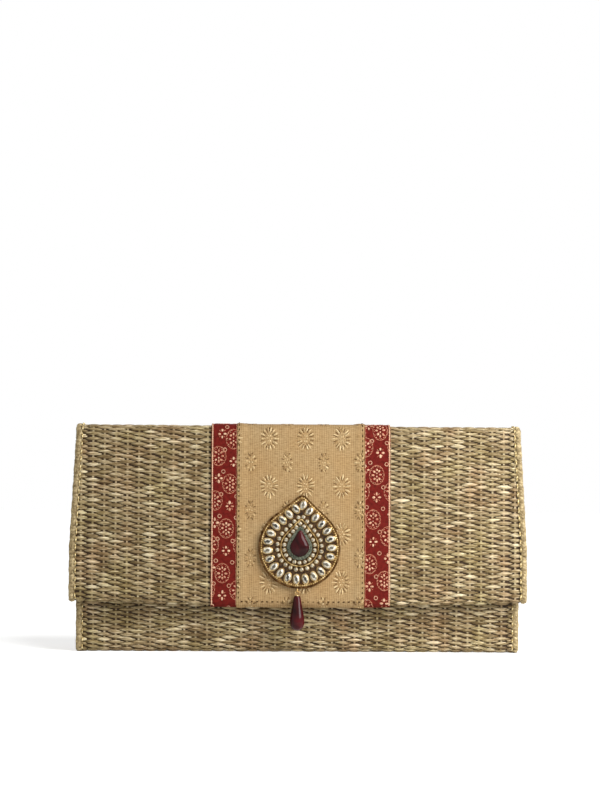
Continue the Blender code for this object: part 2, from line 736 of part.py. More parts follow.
def make_brooch(frame, materials):
    """The brooch: plate with its eyelet, three rows of stones, a wire wall, and the set centre stone."""
    plate_top = GAP + PLATE_THICKNESS
    seat = plate_top + GAP
    plate_outline = teardrop(PLATE_RADIUS, PLATE_TIP, PLATE_TIP_RADIUS)
    plate = as_mesh(outline_piece("brooch_plate", [plate_outline], GAP, plate_top, 0.0,
                                  materials["gilt"], frame))
    keep(plate, "brooch_plate", materials["gilt"], BAG)
    eyelet = torus("eyelet", EYELET_RADIUS, (0.0, -PLATE_RADIUS - EYELET_OVERHANG, plate_top - EYELET_DEPTH),
                   (0.0, 0.0, 0.0), frame, None, CUTTERS)
    combine(plate, eyelet, 'UNION')

    rows = (("outer_stones", OUTER_ROW, OUTER_STONES, OUTER_STONE, OVAL_SIDES),
            ("middle_stones", MIDDLE_ROW, MIDDLE_STONES, SMALL_STONE, ROUND_SIDES),
            ("inner_stones", INNER_ROW, INNER_STONES, SMALL_STONE, ROUND_SIDES))
    for name, row, count, size, segments in rows:
        make_stone_row(name, row, count, size, seat, segments, materials["stone"], frame)

    wall_points = teardrop(*RING_WALL_ROW, ROW_TIP_RADIUS)
    wall = bpy.data.curves.new("ring_wall", 'CURVE')
    wall.dimensions = '3D'
    wall.bevel_depth = RING_WALL_RADIUS
    wall.bevel_resolution = 0
    add_closed_spline(wall, wall_points)
    ring_wall = keep(bpy.data.objects.new("ring_wall", wall), "ring_wall", materials["gilt"], BAG)
    ring_wall.parent = frame
    ring_wall.location = (0.0, 0.0, seat + RING_WALL_RADIUS)

    radius, tip, height = SETTING
    outline_piece("centre_setting", [teardrop(radius, tip, ROW_TIP_RADIUS)], seat, seat + height, 0.0,
                  materials["silver"], frame)
    low = seat + height + GAP
    radius, tip, height = CENTRE_STONE
    outline_piece("centre_stone", [teardrop(radius, tip, ROW_TIP_RADIUS)], low, low + height,
                  CENTRE_STONE_EDGE, materials["garnet"], frame)


def bead_profile(top):
    """The drop bead's outline from its bore's floor, over its top and down its swelling side."""
    bore = WIRE_RADIUS + GAP
    points = [(0.0, top - BEAD_BORE_DEPTH), (bore, top - BEAD_BORE_DEPTH), (bore, top)]
    for step in range(BEAD_STEPS + 1):
        share = step / BEAD_STEPS
        swell = (1 - math.cos(math.pi * share)) / 2
        radius = BEAD_TOP_RADIUS + (BEAD_RADIUS - BEAD_TOP_RADIUS) * swell
        points.append((radius, top - BEAD_WIDEST * share))
    for step in range(1, BEAD_STEPS + 1):
        angle = math.pi / 2 * step / BEAD_STEPS
        radius = BEAD_RADIUS * math.cos(angle) if step < BEAD_STEPS else 0.0
        points.append((radius, top - BEAD_WIDEST - (BEAD_LENGTH - BEAD_WIDEST) * math.sin(angle)))
    return points


def make_drop(frame, materials):
    """The links below the eyelet: a ring that tilts in it, and a bead on a loop that swings in the ring."""
    eyelet_centre = (0.0, -PLATE_RADIUS - EYELET_OVERHANG, GAP + PLATE_THICKNESS - EYELET_DEPTH)
    hanging = Matrix.Rotation(BROOCH_LEAN, 4, 'Z') @ Matrix.Translation((0.0, -EYELET_RADIUS, 0.0))
    ring_frame = new_empty("ring_tilt", Matrix.Translation(eyelet_centre) @ hanging, frame)
    torus("jump_ring", RING_RADIUS, (0.0, LINK_STEP - RING_RADIUS, 0.0), (0.0, math.pi / 2, 0.0),
          ring_frame, materials["gilt"], BAG)
    ring_wire = LINK_STEP - 2 * RING_RADIUS
    drop_frame = new_empty("drop_swing", Matrix.Translation((0.0, ring_wire, 0.0)), ring_frame)

    loop = torus("drop_loop", LOOP_RADIUS, (0.0, LINK_STEP - LOOP_RADIUS, 0.0), (0.0, 0.0, 0.0),
                 drop_frame, materials["gilt"], BAG)
    loop_wire = LINK_STEP - 2 * LOOP_RADIUS
    bead_top = loop_wire - WIRE_RADIUS - GAP
    pin_end = bead_top - PIN_LENGTH
    bpy.ops.mesh.primitive_cylinder_add(vertices=WIRE_SIDES, radius=WIRE_RADIUS, depth=loop_wire - pin_end)
    pin = keep(bpy.context.object, "drop_pin", None, CUTTERS)
    pin.parent = drop_frame
    pin.location = (0.0, (loop_wire + pin_end) / 2, 0.0)
    pin.rotation_euler = (math.pi / 2, 0.0, 0.0)
    combine(loop, pin, 'UNION')

    bead = turned_piece("drop_bead", bead_profile(0.0), materials["garnet"], BAG, WIRE_SEGMENTS)
    bead.parent = drop_frame
    bead.location = (0.0, bead_top, 0.0)
    bead.rotation_euler = (-math.pi / 2, 0.0, 0.0)
    bead.data.shade_smooth()


def make_materials():
    return {
        "weave": finish("woven_straw", (153, 132, 100), 0.45),
        "board": finish("grey_board", (150, 146, 138), 0.9),
        "lining": finish("cotton_lining", (196, 176, 140), 0.85),
        "ribbon": finish("red_ribbon", (130, 30, 35), 0.55),
        "brocade": finish("gold_brocade", (198, 166, 118), 0.5),
        "gilt": finish("antique_gilt", (150, 110, 60), 0.35, 1.0),
        "silver": finish("oxidised_silver", (120, 120, 105), 0.4, 1.0),
        "stone": finish("clear_stone", (225, 222, 210), 0.08),
        "garnet": finish("garnet_glass", (80, 12, 24), 0.08),
        "steel": finish("nickel_snap", (175, 172, 165), 0.3, 1.0),
    }


clear_scene()
BAG = new_collection("clutch_bag")
CUTTERS = new_collection("cutters")
MATERIALS = make_materials()

body_circles = body_profile()
hem_leg, front_leg, base_leg, back_leg, top_leg = belt(body_circles)
woven_wrap = make_woven_wrap(body_circles, MATERIALS["weave"])
front_board_piece = make_body_boards(front_leg, base_leg, back_leg, MATERIALS["board"])
make_gusset("left_gusset", -1, front_leg, back_leg, MATERIALS["lining"])
make_gusset("right_gusset", 1, front_leg, back_leg, MATERIALS["lining"])
make_pocket_lining(front_leg, back_leg, MATERIALS["lining"])

hinge_place = Matrix.Translation((0.0, HINGE_Y, BODY_HEIGHT + HINGE_RAISE))
flap_hinge = new_empty("flap_hinge", hinge_place)
face_leg, flap_board_piece, flap_lining_piece = make_flap(flap_profile(front_leg), flap_hinge, MATERIALS)

front_snap_point = front_leg.point(front_leg.distance_at_height(SNAP_HEIGHT))
make_front_snap(panel_matrix(front_snap_point, front_leg.normal), woven_wrap, front_board_piece,
                MATERIALS["steel"])
flap_snap_point = face_leg.point(face_leg.distance_at_height(SNAP_HEIGHT))
make_flap_snap(panel_matrix(flap_snap_point, face_leg.normal), flap_hinge, flap_lining_piece,
               flap_board_piece, MATERIALS["steel"])

brooch_point = face_leg.point(face_leg.distance_at_height(BROOCH_HEIGHT))
brooch_place = panel_matrix(brooch_point + face_leg.normal * (GAP + CLOTH), face_leg.normal, BROOCH_X)
leaning = Matrix.Rotation(-BROOCH_LEAN, 4, 'Z')
brooch_frame = new_empty("brooch_place", hinge_place.inverted() @ brooch_place @ leaning, flap_hinge)
make_brooch(brooch_frame, MATERIALS)
make_drop(brooch_frame, MATERIALS)
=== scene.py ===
"""Woven straw clutch bag with a full-width flap, a brocade band and a jewelled drop brooch.

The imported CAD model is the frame: X across the bag, the front faces -Y, Z up, metres.
Pieces are made flat on the bench in millimetres, then laid on the bag.
"""

import math

import bmesh
import bpy
import numpy as np
from mathutils import Matrix, Vector


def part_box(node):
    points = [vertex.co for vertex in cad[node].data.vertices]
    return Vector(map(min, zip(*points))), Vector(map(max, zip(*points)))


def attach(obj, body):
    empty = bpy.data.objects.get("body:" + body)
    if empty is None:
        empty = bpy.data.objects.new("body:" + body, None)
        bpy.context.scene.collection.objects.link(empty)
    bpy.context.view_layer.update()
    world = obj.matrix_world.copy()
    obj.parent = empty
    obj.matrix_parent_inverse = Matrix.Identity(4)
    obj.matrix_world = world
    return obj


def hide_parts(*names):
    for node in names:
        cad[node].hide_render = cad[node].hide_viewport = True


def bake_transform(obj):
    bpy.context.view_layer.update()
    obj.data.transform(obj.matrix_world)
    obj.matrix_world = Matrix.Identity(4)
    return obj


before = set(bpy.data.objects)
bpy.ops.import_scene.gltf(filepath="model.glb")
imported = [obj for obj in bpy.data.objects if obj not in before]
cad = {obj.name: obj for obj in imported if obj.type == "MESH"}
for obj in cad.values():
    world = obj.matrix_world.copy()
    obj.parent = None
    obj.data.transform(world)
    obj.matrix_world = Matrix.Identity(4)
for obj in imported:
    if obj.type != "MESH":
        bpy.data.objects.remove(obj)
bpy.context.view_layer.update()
MM = 0.001


# Boards: grey paper board, guillotined flat and glued behind the straw. They stiffen the
# front, the base, the back and the flap, and only their cut edges ever show.

def linear(sheet_colour):
    """An sRGB hex colour as linear light, with full opacity."""
    channels = [int(sheet_colour[start:start + 2], 16) / 255 for start in (1, 3, 5)]
    return [c / 12.92 if c <= 0.04045 else ((c + 0.055) / 1.055) ** 2.4 for c in channels] + [1.0]


def add_node(material, kind, output, settings=None, links=None):
    """Add a shader node with its settings, link what feeds its sockets, and give one of its outputs.

    The setting "stops" gives each place on a colour ramp its hex colour.
    """
    node = material.node_tree.nodes.new("ShaderNode" + kind)
    for name, value in (settings or {}).items():
        if name == "stops":
            marks = node.color_ramp.elements
            for index, (place, colour) in enumerate(value):
                mark = marks[index] if index < 2 else marks.new(place)
                mark.position = place
                mark.color = linear(colour)
        elif isinstance(name, int) or name in node.inputs:
            node.inputs[name].default_value = value
        else:
            setattr(node, name, value)
    for socket, source in (links or {}).items():
        material.node_tree.links.new(source, node.inputs[socket])
    return node.outputs[output]


def new_material(name, colour, settings, pattern_on=None):
    """A material with its shader's named sockets set, and the coordinates that its pattern lies on."""
    material = bpy.data.materials.new(name)
    material.use_nodes = True
    shader = material.node_tree.nodes["Principled BSDF"]
    shader.inputs["Base Color"].default_value = linear(colour)
    for socket, value in settings.items():
        shader.inputs[socket].default_value = value
    if pattern_on == "flat":
        return material, add_node(material, "UVMap", "UV", {"uv_map": "flat"})
    return material, add_node(material, "TexCoord", "Object") if pattern_on == "object" else None


def feed(material, sources):
    """Link the sources to the named sockets of a material's shader."""
    for socket, source in sources.items():
        material.node_tree.links.new(source, material.node_tree.nodes["Principled BSDF"].inputs[socket])


def mottled(name, colour, settings, grain, stops, pattern_on="object"):
    """A material that a noise takes through hex colours, and that noise."""
    material, place = new_material(name, colour, settings, pattern_on)
    noise = add_node(material, "TexNoise", "Fac", grain, {"Vector": place})
    ramp = add_node(material, "ValToRGB", "Color", {"stops": stops}, {"Fac": noise})
    feed(material, {"Base Color": ramp})
    return material, noise


def dress(node_name, material):
    """Give a CAD node that stays its material."""
    mesh = cad[node_name].data
    mesh.materials.clear()
    mesh.materials.append(material)


# Paper board: pressed waste pulp, dull and speckled with darker and paler fibres about 1 mm long
board_grey, _ = mottled("grey_board_pressed", "#8F8C84", {"Roughness": 0.9},
                        {"Scale": 900.0, "Detail": 4.0}, [(0.3, "#746C5E"), (0.7, "#A0988A")])

for board in ("front_board", "base_board", "back_board", "flap_board", "top_board"):
    dress(board, board_grey)


# Woven strip: flat dried straw over hidden warps, one strip folded round the boards from the
# hem inside the mouth, down the front, under the base, up the back and over into the flap.
# Each grain is one weft where it passes over a warp; its long ends dive under the next warps.

BODY_HALF = 125.0
FLAP_SPREAD = 3.4
FLAP_WIDENING = 65.0
FLAP_BOW = 2.5
FLOOR_GAP = 0.02
STRAW = 1.6
STRAW_CREST = 1.05
COLUMN = 6.41
COLUMNS_A_SIDE = 19
WARP = 1.0
WARP_TOP = -0.5
FLAP_ROW = 2.95
BODY_ROW = 2.8
EDGING = 3.3

# What the strip is folded over: the y, z and radius of each bend, and of its two ends
BODY_CIRCLES = [(-7.959, 114.642, 0.0), (-10.35, 120.75, 2.65), (-14.0, 4.0, 4.0), (14.0, 4.0, 4.0),
                (10.5, 125.5, 2.5), (9.35, 128.0, 0.0)]
FLAP_CIRCLES = [(9.35, 128.0, 0.0), (-12.583, 122.0, 6.0), (-23.527, 29.15, 2.65), (-20.235, 36.908, 0.0)]
ARC_STEPS = 24


def fold_line(circles):
    """A strip folded over circles (y, z, radius), turning left: rows of run, y, z and the outward y, z.

    Also the run at which each straight part starts and ends.
    """
    rows = []
    straights = []
    run = 0.0
    facing = None
    for (y1, z1, r1), (y2, z2, r2) in zip(circles, circles[1:]):
        length = math.hypot(y2 - y1, z2 - z1)
        along_y = (y2 - y1) / length
        along_z = (z2 - z1) / length
        lean = (r1 - r2) / length
        square = math.sqrt(1.0 - lean * lean)
        out = math.atan2(along_z * lean - along_y * square, along_y * lean + along_z * square)
        turn = 0.0 if facing is None else (out - facing) % (2 * math.pi)
        for step in range(1, ARC_STEPS if turn else 0):
            angle = facing + turn * step / ARC_STEPS
            rows.append((run + r1 * turn * step / ARC_STEPS, y1 + r1 * math.cos(angle),
                         z1 + r1 * math.sin(angle), math.cos(angle), math.sin(angle)))
        run += r1 * turn
        straights.append((run, run + length * square))
        rows.append((run, y1 + r1 * math.cos(out), z1 + r1 * math.sin(out), math.cos(out), math.sin(out)))
        run += length * square
        rows.append((run, y2 + r2 * math.cos(out), z2 + r2 * math.sin(out), math.cos(out), math.sin(out)))
        facing = out
    return np.array(rows), straights


body_line, body_straights = fold_line(BODY_CIRCLES)
flap_line, flap_straights = fold_line(FLAP_CIRCLES)
FACE_START, FACE_END = flap_straights[1]
FACE_TOP = np.interp(FACE_START, flap_line[:, 0], flap_line[:, 2])
FACE_ALONG = (-0.0814, -0.99668)
FACE_LENGTH = FACE_END - FACE_START
ROLL_END = flap_straights[2][0]


def face_run(height):
    """How far along the flap's strip a height on its front face lies."""
    return FACE_START + (height - FACE_TOP) / FACE_ALONG[1]


def flap_half(run):
    """Half the flap's width, which grows down the upper part of its face."""
    return BODY_HALF + FLAP_SPREAD * np.clip((run - FACE_START) / FLAP_WIDENING, 0.0, 1.0)


def map_flat(piece):
    """Keep a bench piece's flat place, in millimetres, as its UV map, and give it."""
    mesh = piece.data
    flat = np.empty(len(mesh.vertices) * 3)
    mesh.vertices.foreach_get("co", flat)
    flat = flat.reshape(-1, 3)
    corner = np.empty(len(mesh.loops), int)
    mesh.loops.foreach_get("vertex_index", corner)
    layer = mesh.uv_layers.get("flat") or mesh.uv_layers.new(name="flat")
    layer.uv.foreach_set("vector", flat[corner, :2].ravel())
    return flat


def lay(piece, line, on_flap):
    """Fold a bench piece (x across, y its run, z its lift) round a line, and map it flat first."""
    x, run, lift = map_flat(piece).T
    mesh = piece.data
    y, z, out_y, out_z = (np.interp(run, line[:, 0], line[:, part]) for part in range(1, 5))
    bow = np.zeros(len(x))
    if on_flap:
        down = np.clip((run - FACE_START) / FACE_LENGTH, 0.0, 1.0)
        back_up = np.maximum(run - ROLL_END, 0.0) / FACE_LENGTH
        bow = -FLAP_BOW * (down - back_up) * (x / (BODY_HALF + FLAP_SPREAD)) ** 2
    # What would reach under the base is pressed flat by the floor
    high = np.maximum(z + out_z * lift + bow * FACE_ALONG[1], FLOOR_GAP)
    place = np.stack([x, y + out_y * lift + bow * FACE_ALONG[0], high], axis=1)
    mesh.vertices.foreach_set("co", (place * MM).ravel())
    mesh.flip_normals()
    mesh.update()


def clear_bench():
    """Deselect everything, because an operator acts on all that is selected."""
    bpy.ops.object.select_all(action='DESELECT')


def hold(piece):
    """Select one piece alone and make it active."""
    clear_bench()
    piece.select_set(True)
    bpy.context.view_layer.objects.active = piece


def open_up():
    """Go into edit mode on the active piece."""
    bpy.ops.object.mode_set(mode='EDIT')


def close_up():
    """Turn all faces outwards and leave edit mode."""
    bpy.ops.mesh.select_all(action='SELECT')
    bpy.ops.mesh.normals_make_consistent(inside=False)
    bpy.ops.object.mode_set(mode='OBJECT')


def start_piece(name):
    """Name the piece that an operator has just added, with its place put in its mesh."""
    piece = bpy.context.object
    bpy.ops.object.transform_apply(location=True, rotation=True, scale=True)
    piece.name = name
    piece.data.name = name
    return piece


def pick(kind, test):
    """In edit mode, select the vertices, edges or faces that pass a test."""
    bpy.ops.mesh.select_mode(type=kind)
    bpy.ops.mesh.select_all(action='DESELECT')
    shape = bmesh.from_edit_mesh(bpy.context.object.data)
    for part in {'VERT': shape.verts, 'EDGE': shape.edges, 'FACE': shape.faces}[kind]:
        part.select_set(bool(test(part)))
    bmesh.update_edit_mesh(bpy.context.object.data)


def set_points(piece, name, values):
    """Store one number for each vertex of a piece."""
    mesh = piece.data
    layer = mesh.attributes.get(name) or mesh.attributes.new(name, 'FLOAT', 'POINT')
    layer.data.foreach_set("value", np.broadcast_to(np.asarray(values, float), len(mesh.vertices)).copy())


def bring_in(name, data):
    """Put a new object with this data in the scene."""
    piece = bpy.data.objects.new(name, data)
    bpy.context.scene.collection.objects.link(piece)
    return piece


def repeat(name, pattern, places):
    """Many copies of one bench shape, each at x, run, lift, turned, scaled in x and y, with a tone."""
    source = pattern.data
    points = np.array([tuple(vertex.co) for vertex in source.vertices])
    faces = [tuple(face.vertices) for face in source.polygons]
    places = np.asarray(places, float)
    x = points[:, 0] * places[:, 4:5]
    y = points[:, 1] * places[:, 5:6]
    cosine = np.cos(places[:, 3:4])
    sine = np.sin(places[:, 3:4])
    co = np.stack([places[:, 0:1] + x * cosine - y * sine, places[:, 1:2] + x * sine + y * cosine,
                   places[:, 2:3] + points[:, 2]], axis=2)
    mesh = bpy.data.meshes.new(name)
    count = len(points)
    mesh.from_pydata(co.reshape(-1, 3).tolist(), [], [[corner + count * copy for corner in face]
                                                      for copy in range(len(places)) for face in faces])
    mesh.shade_smooth()
    piece = bring_in(name, mesh)
    set_points(piece, "tone", np.repeat(places[:, 6], count))
    # How far below the crest each point lies, which the straw colours as painted shade
    set_points(piece, "sunk", np.tile(np.clip(-points[:, 2] / STRAW_CREST, 0.0, 1.0), len(places)))
    facets = source.attributes.get("facet")
    if facets:
        values = [item.value for item in facets.data]
        mesh.shade_flat()
        mesh.attributes.new("facet", 'FLOAT', 'FACE').data.foreach_set("value", values * len(places))
    return piece


def join(pieces):
    """Join bench pieces into the first one."""
    clear_bench()
    for piece in pieces:
        piece.select_set(True)
    bpy.context.view_layer.objects.active = pieces[0]
    bpy.ops.object.join()
    return pieces[0]


def smooth(piece, degrees):
    """Shade a piece smooth but for edges sharper than an angle."""
    hold(piece)
    bpy.ops.object.shade_smooth_by_angle(angle=math.radians(degrees))


def strip(name, x_range, run_range, lift_range, across, step):
    """A flat strip on the bench, cut into even pieces across and into steps of a length along."""
    clear_bench()
    centre = [(low + high) / 2 for low, high in (x_range, run_range, lift_range)]
    size = [high - low for low, high in (x_range, run_range, lift_range)]
    bpy.ops.mesh.primitive_cube_add(size=1.0, location=centre, scale=size)
    piece = start_piece(name)
    open_up()
    for axis, cuts in ((0, across - 1), (1, round(size[1] / step) - 1)):
        pick('EDGE', lambda edge: abs(edge.verts[0].co[axis] - edge.verts[1].co[axis]) > 0.9 * size[axis])
        if cuts > 0:
            bpy.ops.mesh.subdivide(number_cuts=cuts)
    bpy.ops.object.mode_set(mode='OBJECT')
    return piece


# One grain, modelled for a warp spacing of 1 and a row of 1: it bulges over its warp, narrows
# where it passes between the columns and dives beside the next warps. Each row of the profile
# is how far from its warp, where that is moved to, the width there and how deep it sinks.
GRAIN_SIZE = 1.6
GRAIN_PROFILE = ((0.0, 0.0, 0.88, 0.0), (0.2, 0.2, 0.86, 0.03), (0.4, 0.42, 0.7, 0.18),
                 (0.6, 0.62, 0.52, 0.42), (0.8, 0.82, 0.42, 0.98))
GRAIN_OVERLAP = 1.5
clear_bench()
bpy.ops.mesh.primitive_grid_add(x_subdivisions=8, y_subdivisions=3, size=GRAIN_SIZE)
grain = start_piece("straw_grain")
open_up()
for away, moved, width, sink in GRAIN_PROFILE:
    pick('VERT', lambda point: abs(abs(point.co.x) - away) < 0.01)
    stretch = moved / away if away else 1.0
    bpy.ops.transform.resize(value=(stretch, width / GRAIN_SIZE, 1.0), center_override=(0.0, 0.0, 0.0))
    bpy.ops.transform.translate(value=(0.0, 0.0, -sink))
pick('VERT', lambda point: point.is_boundary)
bpy.ops.mesh.edge_face_add()
pick('VERT', lambda point: any(len(face.verts) > 4 for face in point.link_faces))
for point in bmesh.from_edit_mesh(grain.data).verts:
    if point.select:
        point.co.z = -STRAW_CREST - 0.05
    else:
        point.co.y *= GRAIN_OVERLAP
close_up()


# Hand weaving: how far each straw is off its place, turned, cut wide and long, and off in tone
STRAW_ACROSS = 0.25
STRAW_ALONG = 0.2
STRAW_DOWN = 0.25
STRAW_TURN = (0.045, 0.045)
STRAW_WIDTHS = (0.94, 1.04)
STRAW_LENGTHS = (0.9, 1.12)
COLUMN_TONE = 0.12
STRAW_TONE = 0.36


def straw_places(first, count, pitch, reach, seed):
    """Where each grain lies from a first row on: every other column half a row further."""
    draw = np.random.default_rng(seed)
    places = []
    for column in range(-COLUMNS_A_SIDE, COLUMNS_A_SIDE + 1):
        column_tone = draw.uniform(-COLUMN_TONE, COLUMN_TONE)
        for row in range(count):
            run = first + pitch * (row + (1.0 if column % 2 else 0.5))
            middle = column * COLUMN
            width = COLUMN * draw.uniform(*STRAW_WIDTHS)
            if abs(column) == COLUMNS_A_SIDE:
                inner = (COLUMNS_A_SIDE - 0.5) * COLUMN
                outer = reach(run) - EDGING + 0.6
                middle = math.copysign((inner + outer) / 2, column)
                width = 0.7 * (outer - inner)
            places.append((middle + draw.uniform(-STRAW_ACROSS, STRAW_ACROSS),
                           run + draw.uniform(-STRAW_ALONG, STRAW_ALONG),
                           draw.uniform(-STRAW_DOWN, 0.0), draw.normal(*STRAW_TURN), width,
                           pitch * draw.uniform(*STRAW_LENGTHS), column_tone + draw.normal(0.0, STRAW_TONE)))
    return places


def straw_sheet(name, start, end, reach):
    """The close weave under the grains, coloured as painted shade between them, and the warps on it."""
    under = strip(name, (-1.0, 1.0), (start, end), (-STRAW, -STRAW_CREST + 0.05), 24, 1.3)
    for vertex in under.data.vertices:
        vertex.co.x *= reach(vertex.co.y) - 1.0
    # Painted shade: the under weave takes the full dark brown of the hollows
    set_points(under, "sunk", 1.0)
    sheet = [under]
    for column in range(-COLUMNS_A_SIDE, COLUMNS_A_SIDE + 1):
        middle = column * COLUMN
        warp = strip("warp", (middle - WARP / 2, middle + WARP / 2), (start, end), (-STRAW_CREST, WARP_TOP),
                     1, 2.9)
        # Painted shade: the warps are darkened part way, as they lie below the crests
        set_points(warp, "sunk", 0.55)
        set_points(warp, "tone", 0.5)
        sheet.append(warp)
    return join(sheet)


# Straw: split dried stems, waxy and faintly glossy, with fine fibres along each weft about
# 0.3 mm apart and drawn twice as coarse to show, and patches of olive and pinkish brown. The
# crests look paler because painted shade darkens all that lies below them
straw, straw_map = new_material("split_straw_woven", "#A8946C",
                                {"Roughness": 0.48, "Specular IOR Level": 0.25}, "flat")
straw_tone = add_node(straw, "Attribute", "Fac", {"attribute_name": "tone"})
straw_sunk = add_node(straw, "Attribute", "Fac", {"attribute_name": "sunk"})
fibre_map = add_node(straw, "Mapping", "Vector", {"Scale": (0.16, 1.7, 1.0)}, {"Vector": straw_map})
fibres = add_node(straw, "TexNoise", "Fac", {"Scale": 1.0, "Detail": 3.0, "Roughness": 0.6},
                  {"Vector": fibre_map})
patches = add_node(straw, "TexNoise", "Fac", {"Scale": 0.055, "Detail": 3.0, "Roughness": 0.55},
                   {"Vector": straw_map})
tone_fibre = add_node(straw, "Math", "Value", {"operation": 'MULTIPLY_ADD', 1: 0.16},
                      {0: straw_tone, 2: fibres})
straw_mix = add_node(straw, "ValToRGB", "Color",
                     {"stops": [(0.26, "#513D22"), (0.74, "#EDDEBA"), (0.4, "#7B6743"), (0.55, "#A7936D")]},
                     {"Fac": tone_fibre})
patch_tint = add_node(straw, "ValToRGB", "Color",
                      {"stops": [(0.34, "#EDDACF"), (0.66, "#ECEBD2"), (0.5, "#FFFFFF")]}, {"Fac": patches})
tinted = add_node(straw, "Mix", 2, {"data_type": 'RGBA', "blend_type": 'MULTIPLY', 0: 0.75},
                  {6: straw_mix, 7: patch_tint})
# Painted shade: the deeper a point lies below the crests, the nearer its colour goes to dark brown
valley_shade_mask = add_node(straw, "Math", "Value", {"operation": 'POWER', 1: 2.0}, {0: straw_sunk})
deep = add_node(straw, "Mix", 2, {"data_type": 'RGBA', 7: linear("#33210C")}, {0: valley_shade_mask, 6: tinted})
straw_bump = add_node(straw, "Bump", "Normal", {"Strength": 0.35, "Distance": 0.0002}, {"Height": fibres})
feed(straw, {"Base Color": deep, "Normal": straw_bump})

BASE_MIDDLE = sum(body_straights[2]) / 2
BACK_TOP = (body_straights[3][1] + body_straights[4][0]) / 2
body_rows = round(BACK_TOP / BODY_ROW)
body_pitch = BACK_TOP / body_rows
front_rows = round(BASE_MIDDLE / body_pitch)


def body_half(run):
    """Half the body's width, the same all along."""
    return BODY_HALF


for name, first_row, rows, seed in (("woven_front", 0, front_rows, 11),
                                    ("woven_back", front_rows, body_rows - front_rows, 12)):
    start = first_row * body_pitch
    end = start + rows * body_pitch
    grains = repeat(name, grain, straw_places(start, rows, body_pitch, body_half, seed))
    piece = join([grains, straw_sheet("under", start, end, body_half)])
    lay(piece, body_line, False)
    piece.data.materials.append(straw)
    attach(piece, "bag")
    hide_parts("woven_wrap")

# The flap's strip goes on from the middle of the back top edge, where the straw bends
flap_start = BACK_TOP - body_straights[4][1]
lead = body_line[body_line[:, 0] > BACK_TOP]
lead = np.column_stack([lead[:, 0] - body_straights[4][1], lead[:, 1:]])
whole_flap_line = np.vstack([lead[:-1], flap_line])
flap_rows = round((flap_line[-1, 0] - flap_start) / FLAP_ROW)
flap_pitch = (flap_line[-1, 0] - flap_start) / flap_rows
grains = repeat("woven_cover", grain, straw_places(flap_start, flap_rows, flap_pitch, flap_half, 13))
cover = join([grains, straw_sheet("under", flap_start, flap_line[-1, 0], flap_half)])
lay(cover, whole_flap_line, True)
cover.data.materials.append(straw)
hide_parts("woven_flap")
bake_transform(cover)


# Edging: the strip's cut sides are wrapped with a narrow straw braid, folded over the edge and
# sewn through with a yellowish cotton thread just inside it.

EDGING_THICKNESS = 1.75
EDGING_ROUNDING = 0.7
RIPPLES = ((0.10, 0.55), (0.07, 1.3))
WINDING_PITCH = 1.85
WINDING_LENGTHS = (2.3, 2.9)
WINDING_TURN = (0.42, 0.06)
STITCH_PITCH = 4.6
STITCH_INSET = EDGING + 0.3
STITCH_LIFT = 0.35


def edging(name, line, start, end, side, reach, on_flap):
    """A rounded binding along one side of the strip."""
    piece = strip(name, (-EDGING / 2, EDGING / 2), (start, end), (-EDGING_THICKNESS + 0.1, 0.1), 4, 1.0)
    open_up()
    pick('EDGE', lambda edge: all(abs(abs(point.co.x) - EDGING / 2) < 0.01 for point in edge.verts)
         and all(abs(abs(point.co.z + EDGING_THICKNESS / 2 - 0.1) - EDGING_THICKNESS / 2) < 0.01
                 for point in edge.verts))
    bpy.ops.mesh.bevel(offset=EDGING_ROUNDING, segments=3)
    bpy.ops.object.mode_set(mode='OBJECT')
    draw = np.random.default_rng(21)
    waves = draw.uniform(0.0, 6.28, 3)
    for vertex in piece.data.vertices:
        run = vertex.co.y
        ripple = sum(height * math.sin(run * rate + wave) for (height, rate), wave in zip(RIPPLES, waves))
        vertex.co.x = side * (reach(run) - EDGING / 2 + vertex.co.x * (1.0 + ripple * 0.4) + ripple * 0.5)
    if side < 0:
        piece.data.flip_normals()
    piece.data.shade_smooth()
    turns = [(side * (reach(run) - EDGING / 2 - 0.1) + draw.uniform(-0.1, 0.1), run,
              0.4 + draw.uniform(-0.1, 0.1), side * draw.normal(*WINDING_TURN), EDGING * 0.66,
              draw.uniform(*WINDING_LENGTHS), draw.normal(0.0, 0.4))
             for run in np.arange(start + 1.0, end - 0.6, WINDING_PITCH)]
    piece = join([piece, repeat("winding", grain, turns)])
    lay(piece, line, on_flap)
    return piece


# Binding straw: the same straw wound slantwise at about 2 mm, waxy, olive with tan turns
binding, binding_map = new_material("straw_braid_binding", "#8E7C58",
                                    {"Roughness": 0.55, "Specular IOR Level": 0.3}, "flat")
binding_tone = add_node(binding, "Attribute", "Fac", {"attribute_name": "tone"})
binding_turn = add_node(binding, "Mapping", "Vector",
                        {"Scale": (0.5, 0.42, 1.0), "Rotation": (0.0, 0.0, 0.35)}, {"Vector": binding_map})
binding_grain = add_node(binding, "TexNoise", "Fac", {"Scale": 1.0, "Detail": 5.0, "Roughness": 0.62},
                         {"Vector": binding_turn})
binding_sum = add_node(binding, "Math", "Value", {"operation": 'MULTIPLY_ADD', 1: 0.16},
                       {0: binding_tone, 2: binding_grain})
binding_colour = add_node(binding, "ValToRGB", "Color",
                          {"stops": [(0.28, "#63512F"), (0.74, "#CDB98D"), (0.5, "#9A8761")]},
                          {"Fac": binding_sum})
binding_bump = add_node(binding, "Bump", "Normal", {"Strength": 0.6, "Distance": 0.0004},
                        {"Height": binding_grain})
feed(binding, {"Base Color": binding_colour, "Normal": binding_bump})

for side, word in ((-1, "left"), (1, "right")):
    piece = edging(f"{word}_body_edging", body_line, 0.0, BACK_TOP, side, body_half, False)
    piece.data.materials.append(binding)
    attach(piece, "bag")
    piece = edging(f"{word}_flap_edging", whole_flap_line, flap_start, flap_line[-1, 0], side, flap_half,
                   True)
    piece.data.materials.append(binding)
    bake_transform(piece)
bpy.data.objects.remove(grain)

